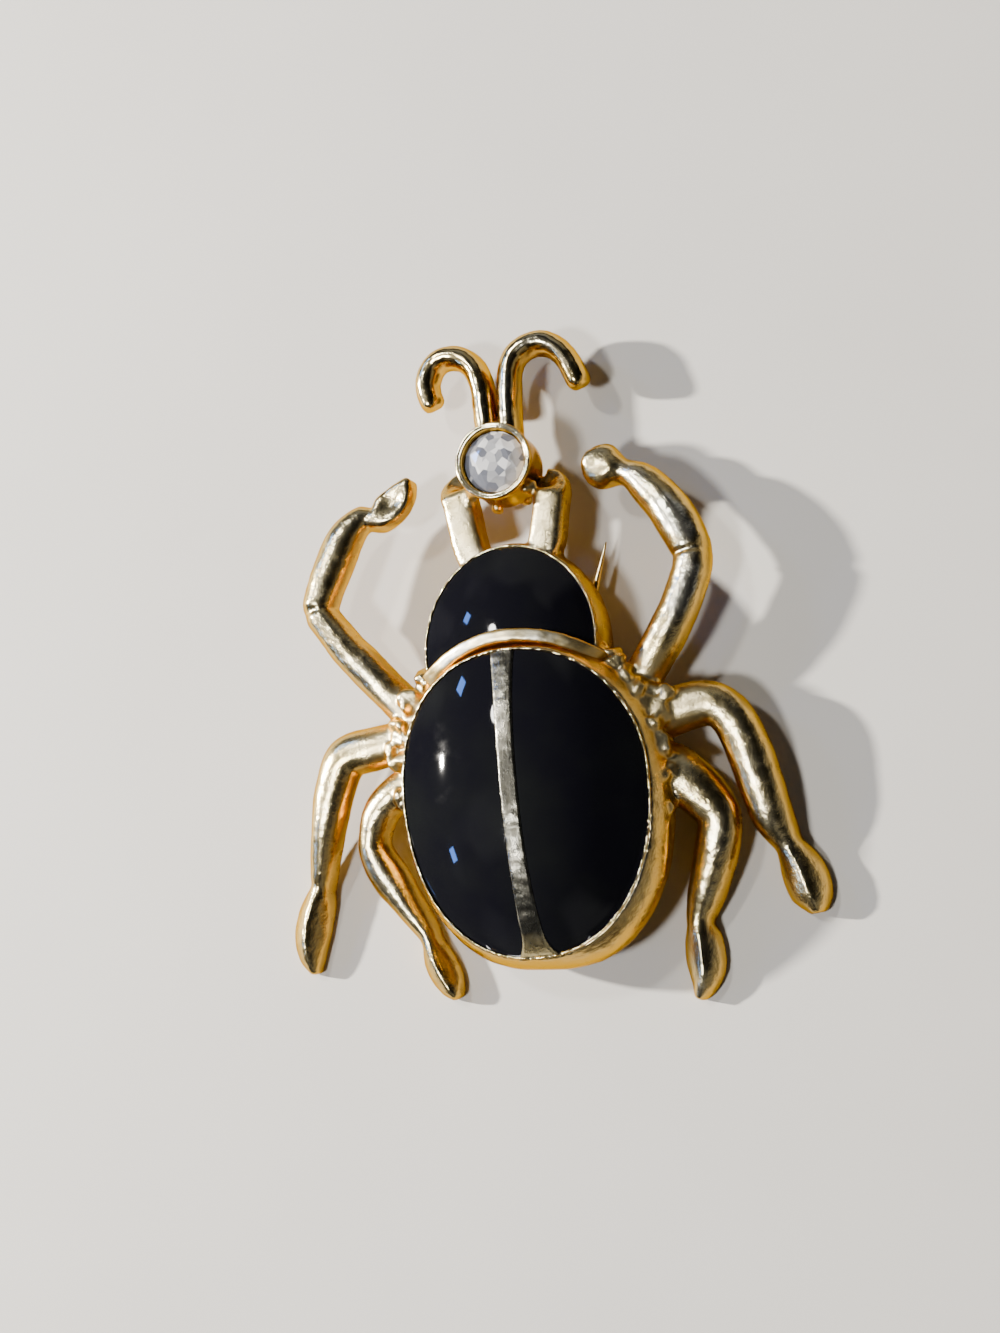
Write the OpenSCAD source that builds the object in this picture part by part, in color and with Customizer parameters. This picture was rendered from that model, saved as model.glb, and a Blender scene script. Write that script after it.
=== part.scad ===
// Beetle brooch: a gilded casting with black enamel, a bezel-set stone and a hinged pin.
// Millimetres. X points to the beetle's right side in plan, Y to its head, Z up from the table.

/* [Wing cases] */
// Width across the two enamel wing cases
wing_w = 16.4; // [15.6:0.2:17.6]
// Length of the wing cases behind their widest line
wing_back = 10.9; // [9.5:0.1:12]
// Length of the wing cases in front of their widest line
wing_front = 8.6; // [7.8:0.1:9.4]
// Height of the side rim above the table
rim_z = 5.5; // [5:0.1:6.2]
// Rise of the wing cases above their side rim
wing_rise = 3.4; // [2.6:0.1:4]
// Width of the silvery stripe between the wing cases at its middle
stripe_w = 1.15; // [0.9:0.05:1.6]

/* [Shield] */
// Width of the enamel shield in front of the wing cases
shield_w = 11.6; // [10.5:0.1:12.5]
// Length of the shield in front of its widest line
shield_l = 6.6; // [5.8:0.1:7.2]
// Height of the shield's rim above the table
shield_z = 4.5; // [4.2:0.1:5]
// Rise of the shield above its rim
shield_rise = 2.7; // [2.2:0.1:3.2]
// Offset of the shield to the beetle's right
shield_x = -0.2; // [-0.4:0.1:0.4]

/* [Collar] */
// Width of the raised band between shield and wing cases
collar_w = 0.85; // [0.6:0.05:1]
// Radius of the band's curve in plan
collar_r = 10; // [9.5:0.5:12]
// Height of the band over the shield beside it
collar_rise = 0.45; // [0.3:0.05:0.6]
// Width of the groove between the band and the wing cases' rim
collar_gap = 0.45; // [0.35:0.05:0.6]

/* [Metal and enamel] */
// Height of the casting's lower edge above the table
edge_z = 2; // [1.8:0.1:2.4]
// Width of the thin rim round the enamel
rim_w = 0.15; // [0.1:0.05:0.25]
// Bulge of the outer wall beyond the enamel
bulge = 1; // [0.7:0.05:1.2]
// Bulge of the shield's wall as a share of it
shield_bulge = 0.5; // [0.4:0.05:0.8]
// How much more the wall bulges at the right rear, as a share
rear_swell = 0.45; // [0.2:0.05:0.6]
// How much less the wall bulges at the tail, as a share
tail_slim = 0.42; // [0.2:0.02:0.5]
// Thickness of the outer wall at its lower edge
wall_t = 1.9; // [1.6:0.1:2.2]
// Thickness of the metal under the enamel
metal_t = 1.1; // [0.9:0.1:1.3]
// Depth of the enamel
enamel_t = 0.8; // [0.5:0.1:0.9]
// Clearance round the enamel and the stone
fit_gap = 0.04; // [0.02:0.01:0.06]

/* [Head] */
// Diameter of the stone
stone_d = 4.2; // [3.6:0.1:4.6]
// Thickness of the bezel wall round the stone
bezel_t = 0.5; // [0.4:0.05:0.6]
// Height of the bezel's lip above the table
bezel_z = 5.95; // [5.7:0.05:6.4]
// Height of the bezel cup
bezel_h = 3.7; // [3.5:0.1:3.8]
// Width of the bevel at the bezel's edges
bezel_bevel = 0.1; // [0.05:0.05:0.2]
// Depth of the stone's table under the bezel's lip
table_z = 0.1; // [0.05:0.05:0.3]
// Height of the stone's crown above its girdle
crown_h = 0.4; // [0.3:0.05:0.5]
// Thickness of the stone's girdle
girdle_h = 0.15; // [0.1:0.05:0.2]
// Depth of the stone's pavilion under its girdle
pavilion_h = 1.6; // [1.3:0.1:1.8]
// Length of the neck from the shield's rim to the bezel's centre
neck_l = 5.7; // [5.2:0.1:6.2]
// Spread of the two neck struts
neck_w = 6.2; // [5.6:0.1:6.6]
// Width of a neck strut
strut_w = 2.2; // [1.8:0.1:2.4]

/* [Antennae] */
// Length of the antennae in front of the bezel's centre
antenna_l = 8.5; // [7.5:0.1:9.5]
// Width of an antenna rod
antenna_w = 1.65; // [1.5:0.05:1.8]
// Depth of an antenna rod
antenna_t = 1.7; // [1.5:0.1:2]
// Height of the antennae above the table
antenna_z = 4.1; // [3.8:0.1:4.4]

/* [Legs] */
// Reach of the legs sideways from their roots
leg_out = 10; // [9:0.25:11]
// Reach of the legs lengthways from their roots
leg_run = 15; // [14:0.25:16]
// Height of the front knees above the table
leg_z = 5; // [4.8:0.1:5.4]
// How far inside the wing cases' edge the legs are rooted
root_in = 0.2; // [0:0.05:0.5]
// Width of a leg
leg_w = 2.3; // [2:0.1:2.6]
// Depth of a leg
leg_t = 2; // [1.8:0.05:2.1]

/* [Pin] */
// Diameter of the pin wire
pin_d = 0.8; // [0.6:0.05:0.9]
// Length of the pin from its rivet to its point
pin_l = 24.6; // [23.5:0.1:25.5]
// Length of the pin's tapered point
point_l = 5; // [3:0.5:8]
// Height of the pin's axis above the table
pin_z = 1.25; // [1.15:0.05:1.4]
// Angle in plan between the pin and the beetle's axis
pin_turn = 19.5; // [18:0.5:21]
// Diameter of the hinge rivet
rivet_d = 0.7; // [0.6:0.05:0.8]
// Running clearance of the pin's eye on the rivet, on the radius
pin_run = 0.05; // [0.02:0.01:0.08]
// Wall of the pin's eye round its bore
eye_wall = 0.45; // [0.35:0.05:0.55]
// Clearance between the eye and each ear of the hinge
ear_gap = 0.1; // [0.05:0.05:0.2]
// Thickness of each ear of the hinge
ear_t = 0.5; // [0.4:0.05:0.7]
// Radius of the ears round the rivet
ear_r = 1.1; // [1:0.05:1.15]
// Reach of the rivet beyond each ear
rivet_out = 0.2; // [0.1:0.05:0.3]
// Distance of the catch from the rivet
catch_at = 18.2; // [17.5:0.1:19]
// Length of the catch along the pin
catch_l = 1.4; // [1.2:0.1:2]
// Half the width of the catch
catch_half = 1.25; // [1.1:0.05:1.4]
// Clearance of the pin in the catch, on the radius
catch_gap = 0.1; // [0.05:0.05:0.2]

/* [Hidden] */
$fn = 48;

gold = [0.83, 0.66, 0.30];
steel = [0.78, 0.70, 0.48];
black = [0.03, 0.03, 0.04];
clear = [0.88, 0.92, 0.97];

// Steps round the wing cases, along the shield's oval and rear arc, and round one wing case.
wing_steps = 48;
oval_steps = 32;
arc_steps = 16;
half_steps = 32;

// The wing cases' widest line, with the middle of the stripe at y = 0.
wing_y = 1;
wing_n = 2.15;
dome_front = 1.5 * wing_front;
dome_n = 0.75;
shield_n = 0.7;

// The collar's centre line is an arc whose middle stands in front of the wing cases' rim, and the
// shield's widest line lies a little behind it. The shield's dome reaches past its outline.
collar_y = wing_y + wing_front + rim_w + collar_gap + collar_w / 2;
collar_c = collar_y - collar_r;
shield_behind = 0.2;
shield_y = collar_y - shield_behind;
shield_top = shield_y + shield_l;
shield_c = shield_y + 0.38 * shield_l;
dome_behind = 0.9;
dome_over = 0.1;

// The bezel's centre, and the height of the stone's girdle.
head_y = shield_top + neck_l;
bezel_r = stone_d / 2 + fit_gap + bezel_t;
girdle_z = bezel_z - table_z - crown_h;

// Drop of the enamel's rounded edge, how far the struts' and the band's undersides stay above
// the casting's lower edge, and how far the struts stand over the shield's rim.
enamel_edge = 0.06;
strut_low = 0.4;
band_low = 0.6;
strut_up = 0.1;

function signed_pow(v, p) = sign(v) * pow(abs(v), p);
function mix(a, b, f) = a + (b - a) * f;

// A point of the wing cases' outline, grown by a margin, at an angle from the widest line.
function wing_point(t, grow = 0) = [
    (wing_w / 2 + grow) * signed_pow(cos(t), 2 / wing_n),
    wing_y + ((sin(t) > 0 ? wing_front : wing_back) + grow) * signed_pow(sin(t), 2 / wing_n)
];

// The same for the outer wall, whose bulge is uneven: more at the right rear, less at the tail.
swell_at = -60;
swell_focus = 3;
slim_focus = 14;
function uneven(t) = 1 + rear_swell * pow(max(0, cos(t - swell_at)), swell_focus)
    - tail_slim * pow(max(0, -sin(t)), slim_focus);
function wall_edge(grow) = [for (i = [0:wing_steps - 1])
    let (t = 360 * i / wing_steps) wing_point(t, grow * uneven(t))];

// Height of the wing cases' domed surface.
function wing_dome(p) = let (
    dx = p[0] / (wing_w / 2),
    dy = (p[1] - wing_y) / (p[1] > wing_y ? dome_front : wing_back)
) rim_z + wing_rise * pow(max(0, 1 - dx * dx - dy * dy), dome_n);

// The shield's outline: an oval in front from corner to corner, and the collar's arc behind,
// with a thread of metal showing at the band's foot.
collar_foot = 0.1;
function shield_rear(x, grow) = collar_line(x, collar_w / 2 + collar_foot - grow)[1];
function shield_edge(grow = 0) = let (
    a = shield_w / 2 + grow,
    b = shield_l + grow,
    low = asin((shield_rear(a, grow) - shield_y) / b),
    corner = a * cos(low)
) concat(
    [for (i = [0:oval_steps]) let (t = mix(low, 180 - low, i / oval_steps))
        [a * cos(t), shield_y + b * sin(t)]],
    [for (i = [1:arc_steps - 1]) let (x = mix(-corner, corner, i / arc_steps))
        [x, shield_rear(x, grow)]]
);

// Height of the shield's domed surface.
function shield_dome(p) = let (
    dx = p[0] / (shield_w / 2 * 1.07),
    dy = (p[1] - shield_y + dome_behind) / (shield_l + dome_behind + dome_over)
) shield_z + shield_rise * pow(max(0, 1 - dx * dx - dy * dy), shield_n);

// Height of the collar band's top at a distance from the beetle's axis.
function collar_line(x, grow = 0) = [x, collar_c + sqrt(pow(collar_r + grow, 2) - x * x)];
function collar_top(x) = shield_dome(collar_line(x, collar_w / 2)) + collar_rise;

// A closed solid from rings of as many points each, between two end points.
module rings_solid(first, rings, last) {
    n = len(rings[0]);
    m = len(rings);
    points = concat([first], [for (r = rings) each r], [last]);
    sides = [for (j = [0:m - 2]) for (i = [0:n - 1]) let (
        a = 1 + j * n + i,
        b = 1 + j * n + (i + 1) % n
    ) each [[b, a, b + n], [a, a + n, b + n]]];
    start = [for (i = [0:n - 1]) [0, 1 + i, 1 + (i + 1) % n]];
    end = [for (i = [0:n - 1]) let (a = 1 + (m - 1) * n) [1 + m * n, a + (i + 1) % n, a + i]];
    polyhedron(points, concat(start, sides, end), convexity = 6);
}

function ring_middle(r) = [for (k = [0:2]) (min([for (p = r) p[k]]) + max([for (p = r) p[k]])) / 2];

// The section of a leg, strut or rod: half its width and its depth from the top as shares.
section = [[0, 0], [0.5, 0.08], [0.82, 0.29], [0.95, 0.52], [1, 0.8], [0.95, 1],
           [-0.95, 1], [-1, 0.8], [-0.95, 0.52], [-0.82, 0.29], [-0.5, 0.08]];

// Rings of that section along stations of [x, y, top, width, depth], square to the path in plan.
function heading(s, i) = let (
    a = s[max(0, i - 1)],
    b = s[min(len(s) - 1, i + 1)],
    back = s[i] - a,
    fore = b - s[i],
    u = norm([back[0], back[1]]) > 0 ? [back[0], back[1]] / norm([back[0], back[1]]) : [0, 0],
    v = norm([fore[0], fore[1]]) > 0 ? [fore[0], fore[1]] / norm([fore[0], fore[1]]) : [0, 0],
    w = u + v
) w / norm(w);
function station_ring(s, i) = let (h = heading(s, i), side = [h[1], -h[0]]) [for (q = section) [
    s[i][0] + side[0] * q[0] * s[i][3] / 2,
    s[i][1] + side[1] * q[0] * s[i][3] / 2,
    s[i][2] - q[1] * s[i][4]
]];
module swept(stations) {
    rings = [for (i = [0:len(stations) - 1]) station_ring(stations, i)];
    rings_solid(ring_middle(rings[0]), rings, ring_middle(rings[len(rings) - 1]));
}

// Leg tables. Columns: out from the root and along as shares of leg_out and leg_run, top as a
// share of leg_z, width as a share of leg_w and depth as a share of leg_t. The front legs run
// forwards, the others backwards, and the two sides differ a little, as the model was made by hand.
front_left = [
    [0.060, -0.120, 0.78, 1.15, 0.90],
    [0.180, -0.060, 0.80, 1.16, 0.95],
    [0.327, 0.053, 0.83, 1.15, 1.00],
    [0.422, 0.131, 0.88, 1.13, 1.00],
    [0.533, 0.224, 0.93, 1.15, 1.00],
    [0.649, 0.321, 0.97, 1.10, 1.00],
    [0.759, 0.430, 1.00, 1.02, 1.00],
    [0.815, 0.488, 1.00, 1.00, 1.00],
    [0.829, 0.508, 0.94, 0.95, 0.95],
    [0.827, 0.528, 1.00, 1.05, 1.00],
    [0.793, 0.583, 1.01, 1.10, 1.00],
    [0.702, 0.717, 1.00, 1.20, 1.00],
    [0.607, 0.829, 0.98, 1.11, 0.98],
    [0.535, 0.884, 0.95, 0.96, 0.94],
    [0.461, 0.912, 0.91, 0.82, 0.88],
    [0.405, 0.906, 0.87, 0.70, 0.80],
    [0.345, 0.905, 0.93, 0.92, 0.88],
    [0.275, 0.928, 0.96, 1.03, 0.92],
    [0.200, 0.965, 0.95, 0.96, 0.90],
    [0.134, 1.011, 0.93, 0.70, 0.80],
    [0.087, 1.052, 0.88, 0.28, 0.60]
];
front_right = [
    [0.040, -0.120, 0.78, 1.20, 0.90],
    [0.100, -0.075, 0.80, 1.22, 0.95],
    [0.208, 0.008, 0.82, 1.22, 1.00],
    [0.282, 0.067, 0.88, 1.13, 1.00],
    [0.407, 0.175, 0.94, 1.17, 1.00],
    [0.523, 0.291, 0.98, 1.15, 1.00],
    [0.624, 0.428, 1.00, 1.13, 1.00],
    [0.647, 0.498, 1.00, 1.12, 1.00],
    [0.646, 0.518, 0.94, 1.06, 0.95],
    [0.642, 0.538, 1.00, 1.18, 1.00],
    [0.570, 0.667, 1.01, 1.27, 1.00],
    [0.483, 0.768, 0.99, 1.22, 1.00],
    [0.374, 0.862, 0.96, 1.08, 0.96],
    [0.300, 0.905, 0.93, 0.86, 0.90],
    [0.245, 0.925, 0.88, 0.76, 0.80],
    [0.189, 0.941, 0.93, 1.08, 0.88],
    [0.134, 0.957, 0.95, 1.34, 0.90],
    [0.075, 0.982, 0.94, 1.26, 0.88],
    [0.030, 1.002, 0.91, 0.92, 0.80],
    [0.004, 1.015, 0.87, 0.45, 0.66]
];
middle_left = [
    [-0.056, -0.050, 0.78, 1.20, 0.90],
    [0.060, -0.055, 0.78, 1.24, 0.95],
    [0.182, -0.058, 0.79, 1.25, 1.00],
    [0.378, -0.046, 0.81, 1.31, 1.00],
    [0.563, -0.028, 0.80, 1.33, 1.00],
    [0.646, 0.038, 0.78, 1.27, 1.00],
    [0.720, 0.150, 0.74, 1.20, 1.00],
    [0.777, 0.271, 0.68, 1.05, 1.00],
    [0.836, 0.393, 0.58, 0.92, 1.00],
    [0.885, 0.500, 0.47, 0.78, 1.00],
    [0.905, 0.545, 0.41, 0.68, 0.98],
    [0.940, 0.600, 0.42, 0.96, 1.06],
    [0.990, 0.675, 0.43, 1.14, 1.09],
    [1.025, 0.760, 0.41, 1.14, 1.03],
    [1.036, 0.830, 0.36, 0.96, 0.90],
    [1.026, 0.885, 0.30, 0.68, 0.74],
    [1.015, 0.932, 0.22, 0.28, 0.52]
];
middle_right = [
    [-0.046, 0.000, 0.78, 1.30, 0.90],
    [0.060, -0.012, 0.79, 1.32, 0.95],
    [0.163, -0.025, 0.80, 1.34, 1.00],
    [0.333, -0.048, 0.83, 1.36, 1.00],
    [0.490, -0.045, 0.82, 1.25, 1.00],
    [0.600, 0.028, 0.79, 1.26, 1.00],
    [0.677, 0.169, 0.74, 1.30, 1.00],
    [0.726, 0.319, 0.68, 1.28, 1.00],
    [0.772, 0.465, 0.58, 1.16, 1.00],
    [0.818, 0.545, 0.47, 0.94, 1.00],
    [0.840, 0.580, 0.42, 0.82, 0.98],
    [0.868, 0.630, 0.42, 1.02, 1.05],
    [0.904, 0.695, 0.43, 1.25, 1.09],
    [0.939, 0.775, 0.42, 1.26, 1.06],
    [0.962, 0.835, 0.36, 0.95, 0.90],
    [0.970, 0.880, 0.27, 0.45, 0.66]
];
rear_left = [
    [-0.040, -0.055, 0.76, 1.25, 0.90],
    [0.080, -0.050, 0.77, 1.20, 0.95],
    [0.202, -0.020, 0.76, 1.12, 1.00],
    [0.300, 0.030, 0.73, 1.08, 1.00],
    [0.370, 0.105, 0.69, 1.00, 1.00],
    [0.405, 0.185, 0.64, 0.96, 1.00],
    [0.392, 0.250, 0.61, 1.04, 1.00],
    [0.332, 0.342, 0.55, 1.14, 1.00],
    [0.229, 0.466, 0.46, 0.96, 1.00],
    [0.120, 0.591, 0.38, 0.72, 0.95],
    [0.092, 0.640, 0.36, 0.64, 0.90],
    [0.075, 0.690, 0.36, 0.82, 0.91],
    [0.052, 0.745, 0.37, 0.98, 0.93],
    [0.012, 0.805, 0.36, 0.98, 0.91],
    [-0.030, 0.865, 0.32, 0.70, 0.80],
    [-0.059, 0.904, 0.25, 0.28, 0.62]
];
rear_right = [
    [-0.040, -0.030, 0.76, 1.40, 0.90],
    [0.113, 0.015, 0.78, 1.45, 1.00],
    [0.222, 0.087, 0.76, 1.50, 1.00],
    [0.319, 0.165, 0.72, 1.38, 1.00],
    [0.378, 0.240, 0.68, 1.25, 1.00],
    [0.356, 0.329, 0.64, 1.26, 1.00],
    [0.308, 0.421, 0.58, 1.23, 1.00],
    [0.226, 0.551, 0.48, 1.10, 1.00],
    [0.165, 0.650, 0.38, 0.86, 0.94],
    [0.155, 0.690, 0.36, 0.78, 0.90],
    [0.158, 0.735, 0.37, 1.02, 0.93],
    [0.161, 0.800, 0.37, 1.16, 0.93],
    [0.161, 0.872, 0.36, 1.10, 0.90],
    [0.135, 0.945, 0.31, 0.74, 0.77],
    [0.095, 1.000, 0.23, 0.30, 0.56]
];

// Where the legs leave the wing cases' outline, as angles from the widest line.
front_root = 45;
middle_root = 22;
rear_root = 3;

// The box runs from the rear feet to the antennae and from one middle foot to the other: its
// middle is the frame's origin in plan.
function reach(angle, table) = wing_point(angle)[0] - root_in
    + max([for (q = table) q[0] * leg_out + q[3] * leg_w / 2]);
antenna_reach = 1.008;
front_y = head_y + antenna_reach * antenna_l + antenna_w / 2;
rear_y = wing_point(rear_root)[1] - leg_run;
frame_x = (reach(middle_root, middle_left) - reach(middle_root, middle_right)) / 2;
frame_y = -(front_y + rear_y) / 2;
module in_frame() {
    translate([frame_x, frame_y, 0]) children();
}

module leg(side, angle, run_sign, table) {
    root = wing_point(angle);
    swept([for (q = table) [
        side * (root[0] - root_in + q[0] * leg_out),
        root[1] + run_sign * q[1] * leg_run,
        q[2] * leg_z,
        q[3] * leg_w,
        q[4] * leg_t
    ]]);
}

// Antenna tables. Columns: out as a share of antenna_l, forwards from the bezel's centre as a
// share of antenna_l, top as a share of antenna_z, width as a share of antenna_w.
antenna_left = [
    [0.110, 0.240, 1.00, 1.0], [0.124, 0.471, 1.00, 1.0], [0.130, 0.673, 1.00, 1.0],
    [0.163, 0.827, 1.00, 1.0], [0.222, 0.931, 1.00, 1.0], [0.324, 0.997, 1.00, 1.0],
    [0.439, 1.008, 0.99, 1.0], [0.540, 0.953, 0.97, 1.0], [0.597, 0.848, 0.95, 1.0],
    [0.602, 0.746, 0.93, 1.0], [0.588, 0.670, 0.92, 0.9], [0.575, 0.605, 0.91, 0.5]
];
antenna_right = [
    [0.070, 0.240, 1.00, 1.0], [0.074, 0.435, 1.00, 1.0], [0.086, 0.632, 1.00, 1.0],
    [0.109, 0.800, 1.00, 1.0], [0.158, 0.905, 1.00, 1.0], [0.233, 0.965, 1.00, 1.0],
    [0.326, 0.991, 1.00, 1.0], [0.429, 0.978, 0.99, 1.0], [0.517, 0.918, 0.97, 1.0],
    [0.589, 0.808, 0.95, 1.0], [0.633, 0.700, 0.93, 1.0], [0.650, 0.630, 0.92, 0.9],
    [0.660, 0.565, 0.91, 0.5]
];
module antenna(side, table) {
    swept([for (q = table) [
        side * q[0] * antenna_l,
        head_y + q[1] * antenna_l,
        q[2] * antenna_z,
        q[3] * antenna_w,
        antenna_t
    ]]);
}

// Struts between the shield's rim and the bezel: forwards from the rim as a share of neck_l.
strut_table = [[0.38, -0.05], [0.43, 0.10], [0.49, 0.40], [0.53, 0.66], [0.50, 0.82], [0.34, 0.91]];
module strut(side, spread) {
    swept([for (q = strut_table) [
        side * spread * q[0] * neck_w,
        shield_top + q[1] * neck_l,
        shield_z + strut_up,
        strut_w,
        shield_z + strut_up - edge_z - strut_low
    ]]);
}

function wing_ring(s, grow) = [for (i = [0:wing_steps - 1])
    let (p = wing_point(360 * i / wing_steps, grow)) mix([0, wing_y], p, s)];
function shield_ring(s, grow) = [for (p = shield_edge(grow)) mix([0, shield_c], p, s)];

function lift(ring, z) = [for (i = [0:len(ring) - 1]) [ring[i][0], ring[i][1], z[i]]];
function tops(ring, edge, wing) = [for (p = ring) (wing ? wing_dome(p) : shield_dome(p)) + edge];

// The outer wall's profile. Columns: share of the bulge and share of the wall's height.
wall_profile = [[0.78, 0.05], [1, 0.3], [0.94, 0.55], [0.58, 0.8]];

// One cup of the body, with its hollow back, bulging wall, rim and enamel cell.
module cup(wing) {
    under = -(enamel_t + metal_t);
    function at(s, grow) = wing ? wing_ring(s, grow) : shield_ring(s, grow);
    rim = tops(at(1, 0), 0, wing);
    function wall(grow, f) = lift(at(1, grow), [for (z = rim) mix(edge_z, z, f)]);
    function over(s, grow, edge) = lift(at(s, grow), tops(at(s, grow), edge, wing));
    back = [for (s = [0.3, 0.6, 0.85]) over(s, -wall_t, under)];
    inner = [over(1, -wall_t, under), wall(rim_w - wall_t, 0.1), wall(-0.4 * wall_t, 0)];
    outer = [for (q = wall_profile) let (grow = mix(rim_w, bulge * (wing ? 1 : shield_bulge), q[0]))
        lift(wing ? wall_edge(grow) : at(1, grow), [for (z = rim) mix(edge_z, z, q[1])])];
    lip = [lift(at(1, rim_w), rim), lift(at(1, 0), rim)];
    cell = [for (s = [1, 0.8, 0.5, 0.25]) over(s, 0, -enamel_t)];
    middle = wing ? [0, wing_y] : [0, shield_c];
    top = wing ? wing_dome(middle) : shield_dome(middle);
    rings_solid([middle[0], middle[1], top + under],
                concat(back, inner, outer, lip, cell),
                [middle[0], middle[1], top - enamel_t]);
}

// Half the stripe's width, which grows towards head and tail.
stripe_flare = 0.4;
function stripe_half(y) = let (
    u = (y - wing_y) / (y > wing_y ? wing_front : wing_back)
) stripe_w / 2 * (1 + stripe_flare * pow(min(1, abs(u)), 3));

// The stripe between the wing cases, rooted in the metal under them.
module stripe() {
    steps = 14;
    from = wing_y - wing_back - rim_w;
    to = wing_y + wing_front + rim_w;
    rings = [for (i = [0:steps]) let (
        y = mix(from, to, i / steps),
        z = wing_dome([0, y]),
        low = z - enamel_t - metal_t / 2,
        w = stripe_half(y)
    ) [[-w, y, z], [w, y, z], [w, y, low], [-w, y, low]]];
    rings_solid(ring_middle(rings[0]), rings, ring_middle(rings[steps]));
}

// The raised band, which runs down into the wall at both ends.
module collar() {
    steps = 20;
    reach = shield_w / 2 + rim_w;
    swept([for (i = [0:steps]) let (
        x = mix(-reach, reach, i / steps),
        p = collar_line(x)
    ) [p[0], p[1], collar_top(x), collar_w, collar_top(x) - edge_z - band_low]]);
}

// The bezel cup, whose cone stays a clearance below the stone.
module bezel() {
    floor_z = bezel_z - bezel_h;
    cone_z = girdle_z - girdle_h - fit_gap;
    seat_r = stone_d / 2 + fit_gap;
    translate([0, head_y, 0]) rotate_extrude() polygon([
        [0, floor_z],
        [bezel_r - bezel_bevel, floor_z],
        [bezel_r - bezel_bevel / 3, girdle_z],
        [bezel_r, girdle_z + bezel_bevel],
        [bezel_r, bezel_z - bezel_bevel],
        [bezel_r - bezel_bevel, bezel_z],
        [seat_r, bezel_z - bezel_bevel / 2],
        [seat_r, cone_z],
        [0, cone_z - pavilion_h - fit_gap]
    ]);
}

// A round-cut stone: a table, a crown of triangles and kites, a girdle and a pavilion.
module stone() {
    r = stone_d / 2;
    function around(steps, share, z, turn = 0) = [for (i = [0:steps - 1])
        let (t = 360 * i / steps + turn) [share * r * cos(t), share * r * sin(t), z]];
    table_ring = around(8, 0.58, girdle_z + crown_h);
    star_ring = around(8, 0.80, girdle_z + 0.55 * crown_h, 22.5);
    girdle_top = around(16, 1, girdle_z);
    girdle_low = around(16, 1, girdle_z - girdle_h);
    tip = [0, 0, girdle_z - girdle_h - pavilion_h];
    points = concat(table_ring, star_ring, girdle_top, girdle_low, [tip]);
    faces = concat(
        [[7, 6, 5, 4, 3, 2, 1, 0]],
        [for (i = [0:7]) [i, (i + 1) % 8, 8 + i]],
        [for (i = [0:7]) each [
            [i, 8 + i, 16 + 2 * i],
            [i, 16 + 2 * i, 8 + (i + 7) % 8],
            [8 + i, 16 + 2 * i + 1, 16 + 2 * i],
            [8 + i, 16 + (2 * i + 2) % 16, 16 + 2 * i + 1]]],
        [for (i = [0:15]) each [
            [16 + i, 16 + (i + 1) % 16, 32 + (i + 1) % 16],
            [16 + i, 32 + (i + 1) % 16, 32 + i]]],
        [for (i = [0:15]) [48, 32 + i, 32 + (i + 1) % 16]]
    );
    color(clear) in_frame() translate([0, head_y, 0]) polyhedron(points, faces, convexity = 4);
}

// The enamel of one wing case, from the stripe to the rim.
module wing_enamel(side) {
    gap = fit_gap;
    x_end = stripe_w / 2 * (1 + stripe_flare) + gap;
    reach = acos(pow(x_end / (wing_w / 2 - gap), wing_n / 2));
    around = floor(half_steps * 0.65);
    along = half_steps - around;
    curve = [for (i = [0:around]) wing_point(mix(-reach, reach, i / around), -gap)];
    seam = [for (i = [1:along - 1]) let (y = mix(curve[around][1], curve[0][1], i / along))
        [stripe_half(y) + gap, y]];
    edge = concat(curve, seam);
    c = [wing_w * 0.23, wing_y - 0.5];
    function at(s, drop) = [for (p = edge) let (q = mix(c, p, s)) [side * q[0], q[1], wing_dome(q) - drop]];
    low = enamel_t - 2 * gap;
    shares = [0.3, 0.6, 0.85, 1];
    below = [for (s = shares) at(s, low)];
    above = [for (i = [3:-1:0]) at(shares[i], i == 3 ? enamel_edge : 0)];
    top = wing_dome(c);
    order = concat(below, above);
    rings = side > 0 ? order : [for (r = order) [for (i = [len(r) - 1:-1:0]) r[i]]];
    color(black) in_frame()
        rings_solid([side * c[0], c[1], top - low], rings, [side * c[0], c[1], top]);
}

module enamel_shield() {
    gap = fit_gap;
    low = enamel_t - 2 * gap;
    function at(s, drop) = [for (p = shield_ring(s, -gap)) [p[0], p[1], shield_dome(p) - drop]];
    shares = [0.25, 0.5, 0.75, 1];
    below = [for (s = shares) at(s, low)];
    above = [for (i = [3:-1:0]) at(shares[i], i == 3 ? enamel_edge : 0)];
    top = shield_dome([0, shield_c]);
    color(black) in_frame() translate([shield_x, 0, 0])
        rings_solid([0, shield_c, top - low], concat(below, above), [0, shield_c, top]);
}

// The pin's line starts at the rivet, under the left wing case near the tail.
hinge = [-0.27 * wing_w / 2, wing_y - 0.65 * wing_back];
pin_dir = [sin(pin_turn), cos(pin_turn)];
function pin_at(along) = hinge + along * pin_dir;
module on_pin(along) {
    translate([pin_at(along)[0], pin_at(along)[1], pin_z]) rotate([0, 0, -pin_turn]) children();
}

// The eye of the pin and the ears of its hinge, whose pad is a little longer than they are and
// starts a little above the eye.
eye_r = rivet_d / 2 + pin_run + eye_wall;
eye_w = pin_d;
ears_w = eye_w + 2 * ear_gap + 2 * ear_t;
pad_out = 0.2;
pad_up = 0.4;

// The rivet's clearance in its ears, and the width of the pin's point.
rivet_slip = 0.01;
tip_d = 0.1;

// The cast pads of hinge and catch end inside the metal under the enamel.
under_metal = enamel_t + 0.7 * metal_t;
hinge_top = wing_dome(pin_at(0)) - under_metal - pin_z;
catch_top = shield_dome(pin_at(catch_at)) - under_metal - pin_z;

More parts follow.
